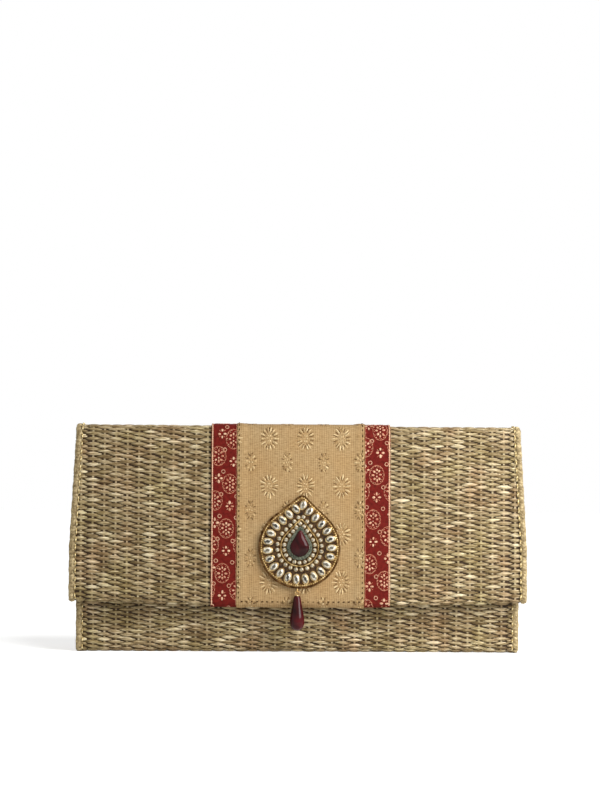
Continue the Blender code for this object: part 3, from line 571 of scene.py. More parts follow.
# One stitch, modelled 1 long: a short arched thread with tapering ends. Each row of its taper
# is how far from the middle, the thickness left there and how deep it dips.
STITCH_TAPER = ((0.25, 0.95, 0.1), (0.5, 0.5, 0.45))
clear_bench()
bpy.ops.mesh.primitive_cylinder_add(vertices=6, radius=0.5, depth=1.0, rotation=(math.pi / 2, 0.0, 0.0))
stitch = start_piece("stitch")
open_up()
pick('EDGE', lambda edge: abs(edge.verts[0].co.y - edge.verts[1].co.y) > 0.9)
bpy.ops.mesh.subdivide(number_cuts=3)
for place, share, dip in STITCH_TAPER:
    pick('VERT', lambda point: abs(abs(point.co.y) - place) < 0.01)
    for point in bmesh.from_edit_mesh(stitch.data).verts:
        if point.select:
            point.co.x *= share
            point.co.z = point.co.z * share - dip
bpy.ops.object.mode_set(mode='OBJECT')

# Cotton thread: two plies twisted about every 1 mm, matt, yellowish where it holds the edging
thread, thread_map = new_material("cotton_thread_yellow", "#CDB377", {"Roughness": 0.8}, "flat")
thread_twist = add_node(thread, "TexWave", "Fac",
                        {"Scale": 0.3, "Distortion": 1.0, "bands_direction": 'DIAGONAL'},
                        {"Vector": thread_map})
thread_colour = add_node(thread, "ValToRGB", "Color",
                         {"stops": [(0.2, "#B79A60"), (0.8, "#EAD8A4")]}, {"Fac": thread_twist})
feed(thread, {"Base Color": thread_colour})


def sew(name, places, line, on_flap, material):
    """A row of stitches laid on the bag, each (x, run, lift, turn, thickness, length, tone)."""
    piece = repeat(name, stitch, places)
    lay(piece, line, on_flap)
    piece.data.materials.append(material)
    return piece


# Hand sewing: each stitch a little along and turned; the flap's are the larger
BODY_STITCH = (0.8, 2.4, 3.1)
FLAP_STITCH = (0.85, 2.8, 3.5)
STITCH_TURN = 0.06
draw = np.random.default_rng(31)
body_seam = []
flap_seam = []
for side in (-1, 1):
    for run in np.arange(4.0, BACK_TOP - 1.0, STITCH_PITCH):
        body_seam.append((side * (BODY_HALF - STITCH_INSET), run + draw.uniform(-0.3, 0.3), STITCH_LIFT,
                          draw.normal(0.0, STITCH_TURN), BODY_STITCH[0], draw.uniform(*BODY_STITCH[1:]), 0.0))
    for run in np.arange(18.0, FACE_END, STITCH_PITCH):
        flap_seam.append((side * (flap_half(run) - STITCH_INSET), run + draw.uniform(-0.3, 0.3), STITCH_LIFT,
                          draw.normal(0.0, STITCH_TURN), FLAP_STITCH[0], draw.uniform(*FLAP_STITCH[1:]), 0.0))
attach(sew("body_seam", body_seam, body_line, False, thread), "bag")
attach(sew("flap_seam", flap_seam, whole_flap_line, True, thread), "flap")


# Linings: plain woven cotton, cut and glued in: two gussets folded into the sides, a pocket
# that follows them, and a sheet on the inside of the flap.

GUSSET_OUTER = 123.75
GUSSET_INNER = 114.75
GUSSET_LOW = 4.35
GUSSET_HIGH = 114.4
GUSSET_DEPTH = 2.15
GUSSET_FOLD = (4.0, 11.0)
GUSSET_WALL = 0.5
POCKET_HALF = 120.5
POCKET_DEPTH = 3.7
POCKET_FOLD_X = 122.15
POCKET_LOW = 3.75
POCKET_HIGH = (114.4, 123.4)
LINING_WALL = 0.4
FLAP_LINING_LIFTS = (-4.1, -3.7)
TURNED_END = 11.5
# How far round the gusset, and round the pocket, each of its folds lies
GUSSET_SHARES = (0.0, 0.2, 0.5, 0.8, 1.0)
POCKET_SHARES = (0.0, 0.25, 0.31, 0.37, 0.63, 0.69, 0.75, 1.0)

# Cotton: plain weave, 20 threads to the centimetre, drawn at half that to show; beige, matt
cotton, cotton_map = new_material("plain_cotton_woven", "#C3AC84",
                                  {"Roughness": 0.88, "Sheen Weight": 0.25}, "flat")
weft = add_node(cotton, "TexWave", "Fac", {"Scale": 0.32, "Distortion": 0.6, "bands_direction": 'X'},
                {"Vector": cotton_map})
warp = add_node(cotton, "TexWave", "Fac", {"Scale": 0.32, "Distortion": 0.6, "bands_direction": 'Y'},
                {"Vector": cotton_map})
cotton_weave = add_node(cotton, "Math", "Value", {"operation": 'MULTIPLY'}, {0: weft, 1: warp})
cotton_stretch = add_node(cotton, "Mapping", "Vector", {"Scale": (0.12, 1.6, 1.0)}, {"Vector": cotton_map})
cotton_slubs = add_node(cotton, "TexNoise", "Fac", {"Scale": 1.0, "Detail": 3.0},
                        {"Vector": cotton_stretch})
cotton_mix = add_node(cotton, "Math", "Value", {"operation": 'MULTIPLY_ADD', 1: 0.35},
                      {0: cotton_weave, 2: cotton_slubs})
cotton_colour = add_node(cotton, "ValToRGB", "Color",
                         {"stops": [(0.3, "#A68E67"), (0.85, "#C9B48C")]}, {"Fac": cotton_mix})
cotton_bump = add_node(cotton, "Bump", "Normal", {"Strength": 0.4, "Distance": 0.0002},
                       {"Height": cotton_weave})
feed(cotton, {"Base Color": cotton_colour, "Normal": cotton_bump})


def wall_y(height, depth, front):
    """How far front or back the inner face of a body wall is at a height, this deep in it."""
    start, end = body_straights[1] if front else body_straights[3]
    heights = np.interp((start, end), body_line[:, 0], body_line[:, 2])
    places = np.interp((start, end), body_line[:, 0], body_line[:, 1])
    y = places[0] + (places[1] - places[0]) * (height - heights[0]) / (heights[1] - heights[0])
    return y + depth if front else y - depth


def through(knots, shares, count):
    """Points along the straight runs between knots, each knot at its share of the way."""
    return np.column_stack([np.interp(np.linspace(0.0, 1.0, count), shares, part) for part in zip(*knots)])


def soften(points, rounds):
    """Round the corners of an open run of points and keep its ends."""
    for _ in range(rounds):
        middle = (points[:-2] + 2 * points[1:-1] + points[2:]) / 4
        points = np.vstack([points[:1], middle, points[-1:]])
    return points


def cloth_loft(name, rings, closed, wall, offset):
    """A cloth skin through rings of points in millimetres, mapped flat, with a thin wall."""
    rings = np.asarray(rings)
    rows, columns = rings.shape[:2]
    clear_bench()
    bpy.ops.mesh.primitive_grid_add(x_subdivisions=columns - 1, y_subdivisions=rows - 1, size=1.0)
    piece = start_piece(name)
    flat = np.zeros((rows, columns, 3))
    flat[:, 1:, 0] = np.cumsum(np.linalg.norm(np.diff(rings, axis=1), axis=2), axis=1)
    flat[1:, :, 1] = np.cumsum(np.linalg.norm(np.diff(rings, axis=0), axis=2), axis=0)
    piece.data.vertices.foreach_set("co", flat.ravel())
    map_flat(piece)
    piece.data.vertices.foreach_set("co", (rings * MM).ravel())
    if closed:
        open_up()
        bpy.ops.mesh.select_all(action='SELECT')
        bpy.ops.mesh.remove_doubles(threshold=0.00001)
        bpy.ops.object.mode_set(mode='OBJECT')
    skin = piece.modifiers.new("wall", 'SOLIDIFY')
    skin.thickness = wall * MM
    skin.offset = offset
    bpy.ops.object.modifier_apply(modifier=skin.name)
    piece.data.shade_smooth()
    piece.data.materials.append(cotton)
    return piece


for side, word in ((-1, "left"), (1, "right")):
    rings = []
    for share in np.linspace(0.0, 1.0, 28):
        height = GUSSET_LOW + (GUSSET_HIGH - GUSSET_LOW) * share
        fold = GUSSET_FOLD[0] + (GUSSET_FOLD[1] - GUSSET_FOLD[0]) * share
        front = wall_y(height, GUSSET_DEPTH, True)
        back = wall_y(height, GUSSET_DEPTH, False)
        knots = [(GUSSET_INNER, front), (GUSSET_OUTER, front), (GUSSET_OUTER - fold, (front + back) / 2),
                 (GUSSET_OUTER, back), (GUSSET_INNER, back)]
        section = soften(through(knots, GUSSET_SHARES, 41), 3)
        rings.append([(side * x, y, height) for x, y in section])
    piece = cloth_loft(f"{word}_gusset_cloth", rings, False, GUSSET_WALL, 0.0)
    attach(piece, "bag")
    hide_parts(f"{word}_gusset")

rings = []
for share in np.linspace(0.0, 1.0, 30):
    front_z, back_z = (POCKET_LOW + (top - POCKET_LOW) * share for top in POCKET_HIGH)
    fold = GUSSET_FOLD[0] + (GUSSET_FOLD[1] - GUSSET_FOLD[0]) * share
    front = wall_y(front_z, POCKET_DEPTH, True)
    back = wall_y(back_z, POCKET_DEPTH, False)
    middle = (front + back) / 2
    fold_x = POCKET_FOLD_X - fold
    knots = [(0.0, front, front_z), (POCKET_HALF, front, front_z), (fold_x, middle, front_z),
             (POCKET_HALF, back, back_z), (-POCKET_HALF, back, back_z), (-fold_x, middle, front_z),
             (-POCKET_HALF, front, front_z), (0.0, front, front_z)]
    rings.append(through(knots, POCKET_SHARES, 101))
top_ring = rings[-1]
at_back = top_ring[:, 1:2] > 0.0
for up, front_up, out in ((0.3, 0.05, 0.3), (1.6, 0.1, 0.4)):
    rings.append(top_ring + np.where(at_back, (0.0, out, up), (0.0, 0.0, front_up)))
rings.insert(0, rings[0] * (1.0, 0.0, 1.0))
pocket = cloth_loft("pocket_cloth", rings, True, LINING_WALL, -1.0)
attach(pocket, "bag")
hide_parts("pocket_lining")

lining_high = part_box("flap_lining")[1]
LINING_SPAN = (-lining_high.x / MM, lining_high.x / MM)
sheet_runs = (0.1, ROLL_END - TURNED_END)
flap_inside = join([strip("flap_cloth", LINING_SPAN, sheet_runs, FLAP_LINING_LIFTS, 30, 1.5),
                    strip("turned_end", LINING_SPAN, (0.1, 0.25), (-3.8, -1.75), 30, 0.15)])
lay(flap_inside, flap_line, True)
flap_inside.data.materials.append(cotton)
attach(flap_inside, "flap")
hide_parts("flap_lining")


# Brocade band: a satin panel between two figured ribbons, glued and sewn over the flap from
# its top round the hem. The ribbons go on first and the panel's turned edges lap over them.

BAND_CENTRE = 1.0
BAND_START = 3.5
PANEL_HALF = 35.75
RIBBON_INNER = 33.25
RIBBON_OUTER = 50.25
CLOTH_LIFTS = (0.3, 0.75)
LAP_RISE = 0.48
LAP_STEP = 4.0
FLAP_RUN_END = flap_line[-1, 0]


def panel_lift(x):
    """The height of the panel's face, which steps up over the ribbons' inner edges."""
    share = np.clip((abs(x - BAND_CENTRE) - RIBBON_INNER + LAP_STEP) / LAP_STEP, 0.0, 1.0)
    return CLOTH_LIFTS[1] + LAP_RISE * share * share * (3 - 2 * share)


# Satin brocade: gold silk ground, 40 threads to the centimetre, drawn at a quarter of that to
# show, with slubs along the weft; glossy across the threads, a little orange in places
brocade, brocade_map = new_material("silk_brocade_woven", "#C6A676",
                                    {"Roughness": 0.6, "Specular IOR Level": 0.06}, "flat")
brocade_stretch = add_node(brocade, "Mapping", "Vector", {"Scale": (0.35, 2.0, 1.0)},
                           {"Vector": brocade_map})
brocade_slubs = add_node(brocade, "TexNoise", "Fac", {"Scale": 1.0, "Detail": 4.0, "Roughness": 0.6},
                         {"Vector": brocade_stretch})
brocade_warps = add_node(brocade, "TexWave", "Fac",
                         {"Scale": 0.31, "Distortion": 1.5, "Detail": 2.0, "bands_direction": 'X'},
                         {"Vector": brocade_map})
brocade_cloud = add_node(brocade, "TexNoise", "Fac", {"Scale": 0.05, "Detail": 2.0},
                         {"Vector": brocade_map})
brocade_sum = add_node(brocade, "Math", "Value", {"operation": 'MULTIPLY_ADD', 1: 0.22},
                       {0: brocade_warps, 2: brocade_slubs})
brocade_colour = add_node(brocade, "ValToRGB", "Color",
                          {"stops": [(0.35, "#836C4A"), (0.85, "#BAA37C"), (0.6, "#A48D68")]},
                          {"Fac": brocade_sum})
brocade_warm = add_node(brocade, "Mix", 2,
                        {"data_type": 'RGBA', "blend_type": 'MULTIPLY', 7: linear("#FFE9CF")},
                        {0: brocade_cloud, 6: brocade_colour})
brocade_bump = add_node(brocade, "Bump", "Normal", {"Strength": 0.35, "Distance": 0.0002},
                        {"Height": brocade_sum})
feed(brocade, {"Base Color": brocade_warm, "Normal": brocade_bump})

# The stitches pucker the panel's sides, and its cut sides wander a little
PUCKER = 0.07
PUCKER_FROM = 0.9
WANDERS = ((0.12, 0.4), (0.08, 1.1))
panel = strip("brocade_cloth", (BAND_CENTRE - PANEL_HALF, BAND_CENTRE + PANEL_HALF),
              (BAND_START, FLAP_RUN_END), CLOTH_LIFTS, 60, 1.5)
draw = np.random.default_rng(41)
waves = draw.uniform(0.0, 6.28, 6)
for vertex in panel.data.vertices:
    away = abs(vertex.co.x - BAND_CENTRE) / PANEL_HALF
    vertex.co.z += panel_lift(vertex.co.x) - CLOTH_LIFTS[1]
    pucker = math.sin(vertex.co.y * 2 * math.pi / STITCH_PITCH + waves[0]) * PUCKER
    vertex.co.z += pucker * max(0.0, away - PUCKER_FROM) / (1.0 - PUCKER_FROM)
    if away > 0.99:
        vertex.co.x += sum(reach * math.sin(vertex.co.y * rate + wave)
                           for (reach, rate), wave in zip(WANDERS, (waves[1], 0.0)))
smooth(panel, 50.0)
lay(panel, flap_line, True)
panel.data.materials.append(brocade)
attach(panel, "flap")
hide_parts("brocade_panel")


def grow(rise, share, centre=(0.0, 0.0, 0.0)):
    """In edit mode, extrude the selected face upwards and scale it about a centre."""
    bpy.ops.mesh.extrude_region_move(TRANSFORM_OT_translate={"value": (0.0, 0.0, rise)})
    bpy.ops.transform.resize(value=(share, share, 1.0), center_override=centre)


# One thread float, 1 wide and 1 long: a low bundle of silk lying on the ground with rounded edges
FLOAT_STEPS = ((0.1, 0.95), (0.1, 0.7))
clear_bench()
bpy.ops.mesh.primitive_circle_add(vertices=10, radius=0.5, fill_type='NGON')
silk_float = start_piece("silk_float")
open_up()
for rise, share in FLOAT_STEPS:
    grow(rise, share)
close_up()


# Each float is woven a little off: in angle, distance, width, length and tone
silk_draw = np.random.default_rng(31)
FLOAT_TURN = 0.05
FLOAT_OUT = (0.92, 1.06)
FLOAT_WIDTHS = (0.8, 1.2)
FLOAT_LENGTHS = (0.8, 1.15)
FLOAT_TONE = 0.25
# Each thread float is sunk this far into the cloth that it is woven in
FLOAT_SUNK = 0.02


def rays(x, run, count, radius, size, stretch, tone, turn):
    """Floats round a centre, pointing away from it and each a little off."""
    found = []
    for angle in np.arange(count) * 2 * math.pi / count + turn:
        angle += silk_draw.normal(0.0, FLOAT_TURN)
        far = radius * silk_draw.uniform(*FLOAT_OUT)
        found.append((x + far * math.cos(angle) * stretch[0], run + far * math.sin(angle) * stretch[1],
                      0.0, angle - math.pi / 2, size[0] * silk_draw.uniform(*FLOAT_WIDTHS),
                      size[1] * silk_draw.uniform(*FLOAT_LENGTHS), tone + silk_draw.normal(0.0, FLOAT_TONE)))
    return found


def cut_to(piece, low, high):
    """Cut away what reaches past a cloth's edges on the bench."""
    hold(piece)
    open_up()
    for edge, facing in ((low, -1.0), (high, 1.0)):
        bpy.ops.mesh.select_all(action='SELECT')
        bpy.ops.mesh.bisect(plane_co=(edge, 0.0, 0.0), plane_no=(facing, 0.0, 0.0), use_fill=True,
                            clear_outer=True)
    bpy.ops.object.mode_set(mode='OBJECT')


STAR_X = -16.9
STAR_HEIGHT = 120.5
STAR_PITCH = (20.4, 26.9)
# Each ring of a figure: count, radius, width and length, stretch, tone and turn
# The second ring of each star, of tone -1.2, is painted shadow: dark floats between the raised rays
LARGE_STAR = ((14, 3.9, (0.8, 3.4), (0.98, 1.38), 0.55, 0.0),
              (14, 3.6, (0.5, 3.0), (0.98, 1.38), -1.2, math.pi / 14),
              (6, 1.1, (0.6, 1.2), (1.0, 1.5), 0.5, 0.0))
SMALL_STAR = ((8, 2.5, (1.3, 2.1), (0.9, 1.7), 0.1, 0.0),
              (8, 2.9, (0.55, 2.0), (0.9, 1.7), -1.2, math.pi / 8),
              (4, 0.7, (0.8, 1.0), (1.0, 2.2), 0.5, 0.0))
figures = []
for row in range(-1, 5):
    for column in range(-1, 4):
        for shift, star in ((0.0, LARGE_STAR), (0.5, SMALL_STAR)):
            x = STAR_X + STAR_PITCH[0] * (column + shift)
            run = face_run(STAR_HEIGHT) + STAR_PITCH[1] * (row + shift)
            for ring in star:
                figures += rays(x, run, *ring)
figures = [place for place in figures if BAND_START + 1.0 < place[1] < FACE_END + 3.0]
stars = repeat("brocade_figures", silk_float, figures)
cut_to(stars, BAND_CENTRE - PANEL_HALF + 0.3, BAND_CENTRE + PANEL_HALF - 0.3)
for vertex in stars.data.vertices:
    vertex.co.z += panel_lift(vertex.co.x) - FLOAT_SUNK
lay(stars, flap_line, True)


def toned_silk(name, colour, settings, threads, share, stops):
    """Float silk: threads to the millimetre, with a share of each float's own tone."""
    silk, silk_map = new_material(name, colour, settings, "flat")
    tone = add_node(silk, "Attribute", "Fac", {"attribute_name": "tone"})
    thread_noise = add_node(silk, "TexNoise", "Fac", {"Scale": threads, "Detail": 3.0},
                            {"Vector": silk_map})
    mix = add_node(silk, "Math", "Value", {"operation": 'MULTIPLY_ADD', 1: share},
                   {0: tone, 2: thread_noise})
    ramp = add_node(silk, "ValToRGB", "Color", {"stops": stops}, {"Fac": mix})
    feed(silk, {"Base Color": ramp})
    return silk


# Silk floats of the figures: the same gold, paler on the rays and dark brown as painted shadow beside them
figure_silk = toned_silk("silk_float_gold", "#D2B483", {"Roughness": 0.45, "Specular IOR Level": 0.2},
                         1.2, 0.4, [(0.12, "#6B4E2A"), (0.92, "#DCC496"), (0.5, "#A98A5C")])
stars.data.materials.append(figure_silk)
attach(stars, "flap")

# Ribbon satin: crimson silk with a faint rib about 0.3 mm apart, drawn twice as coarse
crimson, crimson_map = new_material("silk_ribbon_crimson", "#74201A",
                                    {"Roughness": 0.6, "Specular IOR Level": 0.06}, "flat")
crimson_ribs = add_node(crimson, "TexWave", "Fac",
                        {"Scale": 0.5, "Distortion": 1.0, "bands_direction": 'Y'}, {"Vector": crimson_map})
crimson_slubs = add_node(crimson, "TexNoise", "Fac", {"Scale": 0.6, "Detail": 4.0}, {"Vector": crimson_map})
crimson_mix = add_node(crimson, "Math", "Value", {"operation": 'MULTIPLY_ADD', 1: 0.25},
                       {0: crimson_ribs, 2: crimson_slubs})
crimson_colour = add_node(crimson, "ValToRGB", "Color",
                          {"stops": [(0.35, "#4C130E"), (0.85, "#74201A")]}, {"Fac": crimson_mix})
crimson_bump = add_node(crimson, "Bump", "Normal", {"Strength": 0.3, "Distance": 0.0002},
                        {"Height": crimson_mix})
feed(crimson, {"Base Color": crimson_colour, "Normal": crimson_bump})

# Ribbon figures: thick pinkish-cream floats, some a little orange
figure_cream = toned_silk("silk_float_cream", "#E0BFA4", {"Roughness": 0.5, "Specular IOR Level": 0.12},
                          0.9, 0.3, [(0.2, "#96462F"), (0.8, "#D8B494"), (0.5, "#BE8468")])


def outline(x, run, radius, count, width, tone, stretch=(1.0, 1.0)):
    """Floats end to end round a circle."""
    found = []
    length = 2 * math.pi * radius / count * 1.15
    for angle in np.arange(count) * 2 * math.pi / count:
        found.append((x + radius * math.cos(angle) * stretch[0], run + radius * math.sin(angle) * stretch[1],
                      0.0, angle, width, length, tone))
    return found


# The ribbons' figures: medallions in a ring, four-petalled flowers between them and small
# rings. A ribbon's pattern drifts inwards down its length, and its edge threads are woven in.
FIGURE_PITCH = 25.1
FIGURE_DRIFT = -0.078
FIGURE_LINES = ((0.0, 0.0), (-8.3, 9.5), (8.3, 9.5))
MEDALLION = ((16, 3.75, (0.5, 0.6), (0.95, 1.27), 0.1, math.pi / 16),
             (8, 2.25, (1.1, 1.7), (0.95, 1.35), 0.3, 0.0),
             (2, 0.75, (0.85, 1.1), (1.0, 1.3), 0.5, math.pi / 2))
FOUR_PETALS = ((4, 1.55, (1.2, 1.9), (1.0, 1.25), 0.75, 0.0),
               (4, 1.9, (0.4, 1.2), (1.0, 1.2), -0.3, math.pi / 4))
SMALL_RINGS = ((-4.8, 5.9), (3.75, 7.0), (-5.6, 18.2), (3.6, 19.0))
EDGE_PITCH = 1.25
EDGE_THREADS = ((RIBBON_OUTER - 0.6, 0.8, 0.8), (PANEL_HALF + 0.5, 0.35, -0.4))
for side, word, first_x, first_height in ((-1, "left", -36.9, 119.8), (1, "right", 45.5, 125.3)):
    edges = sorted((BAND_CENTRE + side * RIBBON_INNER, BAND_CENTRE + side * RIBBON_OUTER))
    ribbon = strip(f"{word}_ribbon_cloth", edges, (BAND_START, FLAP_RUN_END), CLOTH_LIFTS, 8, 1.5)
    smooth(ribbon, 50.0)
    lay(ribbon, flap_line, True)
    ribbon.data.materials.append(crimson)
    figures = []
    for row in range(-2, 6):
        x = first_x + FIGURE_DRIFT * FIGURE_PITCH * row
        run = face_run(first_height) + FIGURE_PITCH * row
        for line_x, line_run in FIGURE_LINES:
            figures += outline(x + line_x, run + line_run, 4.3, 16, 0.5, -0.3, (0.95, 1.25))
            for further, figure in ((0.0, MEDALLION), (FIGURE_PITCH / 2, FOUR_PETALS)):
                for ring in figure:
                    figures += rays(x + line_x, run + line_run + further, *ring)
        for ring_x, ring_run in SMALL_RINGS:
            figures += outline(x + ring_x, run + ring_run, 0.95, 8, 0.5, 0.45)
    for run in np.arange(BAND_START + 1.0, FACE_END + 2.0, EDGE_PITCH):
        for away, width, tone in EDGE_THREADS:
            figures.append((BAND_CENTRE + side * away, run, 0.0, 0.0, width, 1.5, tone))
    figures = [place for place in figures if BAND_START + 0.5 < place[1] < FACE_END + 3.0]
    woven_in = repeat(f"{word}_ribbon_figures", silk_float, figures)
    cut_to(woven_in, *sorted(BAND_CENTRE + side * away for away in (PANEL_HALF + 0.15, RIBBON_OUTER - 0.1)))
    for vertex in woven_in.data.vertices:
        vertex.co.z += CLOTH_LIFTS[1] - FLOAT_SUNK
    lay(woven_in, flap_line, True)
    woven_in.data.materials.append(figure_cream)
    for piece in (ribbon, woven_in):
        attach(piece, "flap")
    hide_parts(f"{word}_ribbon")

# Dark brown sewing thread: short sunk stitches down both sides of the panel and along its hem
brown, _ = mottled("cotton_thread_brown", "#3C2614", {"Roughness": 0.9, "Specular IOR Level": 0.1},
                   {"Scale": 1.5, "Detail": 2.0}, [(0.3, "#2A1A0D"), (0.7, "#4E341E")], "flat")

# The hem's stitches are pulled deeper where the drop swings over them
SEAM_INSET = 1.1
SEAM_PITCH = STITCH_PITCH * 0.62
SEAM_THREAD = 0.6
SEAM_LENGTHS = (1.3, 1.7)
SEAM_TURN = 0.08
DROP_SWEEP = 15.0
PULLED = 0.3
draw = np.random.default_rng(42)
panel_seam = []
seam_lift = CLOTH_LIFTS[1] + LAP_RISE
for side in (-1, 1):
    for run in np.arange(BAND_START + 2.0, FACE_END - 1.0, SEAM_PITCH):
        panel_seam.append((BAND_CENTRE + side * (PANEL_HALF - SEAM_INSET), run, seam_lift,
                           draw.normal(0.0, SEAM_TURN), SEAM_THREAD, draw.uniform(*SEAM_LENGTHS), 0.0))
for x in np.arange(BAND_CENTRE - PANEL_HALF + 3.0, BAND_CENTRE + PANEL_HALF - 2.0, SEAM_PITCH):
    pulled = PULLED if abs(x - BAND_CENTRE) < DROP_SWEEP else 0.0
    panel_seam.append((x, FACE_END + 0.2, panel_lift(x) - pulled, math.pi / 2 + draw.normal(0.0, SEAM_TURN),
                       SEAM_THREAD, draw.uniform(*SEAM_LENGTHS), 0.0))
hem_seam = sew("panel_seam", panel_seam, flap_line, True, brown)
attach(hem_seam, "flap")
bpy.data.objects.remove(silk_float)
bpy.data.objects.remove(stitch)


# Brooch: a stamped brass teardrop with a raised rim of fine beads, gilt and worn back to copper
# brown on its wall. It carries three rows of foil-backed stones in cups round one garnet stone.

BROOCH_PLACE = Vector((0.3, -24.463, 59.461))
BROOCH_LEAN = math.radians(3.0)
FACE_OUT = Vector((0.0, FACE_ALONG[1], -FACE_ALONG[0]))
FACE_UP = Vector((0.0, -FACE_ALONG[0], -FACE_ALONG[1]))
PLATE_LEVELS = (0.3, 3.0)
PLATE_STEPS = [(0.0, 0.5), (0.9, 1.5), (0.25, 0.5), (0.5, 0.2), (0.35, -0.35), (0.8, -0.1)]
PLATE_GROUND = 2.55
SEAT_LEVEL = 3.3
# Each teardrop: the radius of its bowl, the height of its tip and the tip's radius
PLATE = (22.1, 28.6, 3.0)
OUTER_ROW = (17.9, 24.0, 1.5)
MIDDLE_ROW = (12.4, 17.6, 1.5)
INNER_ROW = (8.6, 13.4, 1.5)
WIRE_ROW = (10.5, 15.5, 1.5)
BEAD_ROW = (PLATE[0] - 0.75, PLATE[1] - 0.9, 2.2)
# The width and length of a stone
OVAL_STONE = (3.5, 5.2)
ROUND_STONE = (2.05, 2.05)


def on_brooch(piece, lean=BROOCH_LEAN):
    """Put a bench piece, its height above the cloth along Z, on the brooch's place in metres."""
    turn = Matrix((Vector((1.0, 0.0, 0.0)), FACE_UP, FACE_OUT)).transposed() @ Matrix.Rotation(-lean, 3, 'Z')
    piece.data.transform(Matrix.Scale(MM, 4) @ Matrix.Translation(BROOCH_PLACE) @ turn.to_4x4())


def teardrop(radius, tip, tip_radius, count, first=0.5):
    """Even places round a teardrop, from the left of its bowl and down: x, y and the outward angle."""
    lean = math.asin((radius - tip_radius) / (tip - tip_radius))
    bowl = np.linspace(math.pi - lean, 2 * math.pi + lean, 200)
    point = np.linspace(lean, math.pi - lean, 60)
    edge = np.vstack([np.column_stack([radius * np.cos(bowl), radius * np.sin(bowl)]),
                      np.column_stack([tip_radius * np.cos(point),
                                       tip - tip_radius + tip_radius * np.sin(point)])])
    closed = np.vstack([edge, edge[:1]])
    walked = np.concatenate([[0.0], np.cumsum(np.linalg.norm(np.diff(closed, axis=0), axis=1))])
    stops = (np.arange(count) + first) * walked[-1] / count
    x, y = (np.interp(stops, walked, closed[:, part]) for part in (0, 1))
    ahead_x, ahead_y = (np.interp(stops + 0.05, walked, closed[:, part]) for part in (0, 1))
    return list(zip(x, y, np.arctan2(x - ahead_x, ahead_y - y)))


def teardrop_face(name, shape, count, level):
    """A flat teardrop face on the bench, open in edit mode with the face selected."""
    clear_bench()
    bpy.ops.mesh.primitive_circle_add(vertices=count, radius=1.0, fill_type='NGON')
    piece = start_piece(name)
    for vertex, (x, y, _) in zip(piece.data.vertices, teardrop(*shape, count, 0.0)):
        vertex.co = (x, y, level)
    open_up()
    bpy.ops.mesh.select_all(action='SELECT')
    bpy.ops.mesh.normals_make_consistent(inside=False)
    return piece


def raise_face(steps):
    """Shape the selected face upwards: each step is an inset and a rise."""
    for inset, rise in steps:
        if inset:
            bpy.ops.mesh.inset(thickness=inset, depth=0.0)
        bpy.ops.mesh.extrude_region_move(TRANSFORM_OT_translate={"value": (0.0, 0.0, rise)})


# Antique gilt: brass stamped and gilded, mottled dark and rubbed to bright gold on the high edges;
# reddish brown where the gilding has gone
gilt, gilt_wear = mottled("antique_gilt_brass", "#A0733C", {"Metallic": 1.0, "Roughness": 0.36},
                          {"Scale": 420.0, "Detail": 5.0, "Roughness": 0.65},
                          [(0.32, "#33200F"), (0.72, "#A17F52"), (0.5, "#5E4226")])
gilt_rough = add_node(gilt, "MapRange", "Result", {"To Min": 0.5, "To Max": 0.25}, {"Value": gilt_wear})
gilt_bump = add_node(gilt, "Bump", "Normal", {"Strength": 0.25, "Distance": 0.0002}, {"Height": gilt_wear})
feed(gilt, {"Roughness": gilt_rough, "Normal": gilt_bump})

# Pale gold: thin bright gilding on the cups, wires and beads, scarcely worn
pale_gold, _ = mottled("bright_gilt_brass", "#DCC088", {"Metallic": 1.0, "Roughness": 0.28},
                       {"Scale": 500.0, "Detail": 3.0},
                       [(0.32, "#6E532B"), (0.68, "#DFC893"), (0.5, "#A98B56")])

# Dark brass: the sunk ground between the cups, coloured dark
dark_brass, _ = mottled("dark_ground_brass", "#3B2A18", {"Metallic": 0.6, "Roughness": 0.55},
                        {"Scale": 600.0, "Detail": 4.0}, [(0.35, "#20140A"), (0.75, "#6A4A26")])

plate = teardrop_face("brooch_body", (PLATE[0] + 0.9, PLATE[1] + 0.9, PLATE[2]), 96, PLATE_LEVELS[0])
raise_face(PLATE_STEPS)
close_up()
smooth(plate, 40.0)
plate.data.materials.append(gilt)
plate.data.materials.append(dark_brass)
# The sunk ground between the cups takes the dark brass
for face in plate.data.polygons:
    if face.normal.z > 0.5 and all(abs(plate.data.vertices[corner].co.z - PLATE_GROUND) < 0.45
                                   for corner in face.vertices) and len(face.vertices) > 4:
        face.material_index = 1
on_brooch(plate)
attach(plate, "flap")
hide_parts("brooch_plate")

# One bead, a squashed ball seated in the rim
clear_bench()
bpy.ops.mesh.primitive_ico_sphere_add(subdivisions=2, radius=0.5)
bead = start_piece("rim_bead")
open_up()
bpy.ops.transform.resize(value=(1.0, 1.0, 0.8))
bpy.ops.object.mode_set(mode='OBJECT')
beading = repeat("rim_beading", bead,
                 [(x, y, PLATE_LEVELS[1] - 0.25, angle, 0.95, 1.2, 0.0)
                  for x, y, angle in teardrop(*BEAD_ROW, 112)])
on_brooch(beading)
beading.data.materials.append(pale_gold)
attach(beading, "flap")


# Stones: cut glass backed with foil; each facet carries a painted reflection, white, grey or nearly
# black by the way it leans. Every stone sits in a pressed cup with four claws over its edge.

CROWN_TIERS = ((1.08, 0.3), (0.86, 0.3), (0.54, 0.3))
PAINTED_FACET_LIGHT = {"bright": 0.95, "shaded": 0.3, "pale": 0.72, "grey": 0.42}
CLAW_OUT = 0.46
CLAW_LEVEL = 0.62
CLAW_LENGTH = 3.0


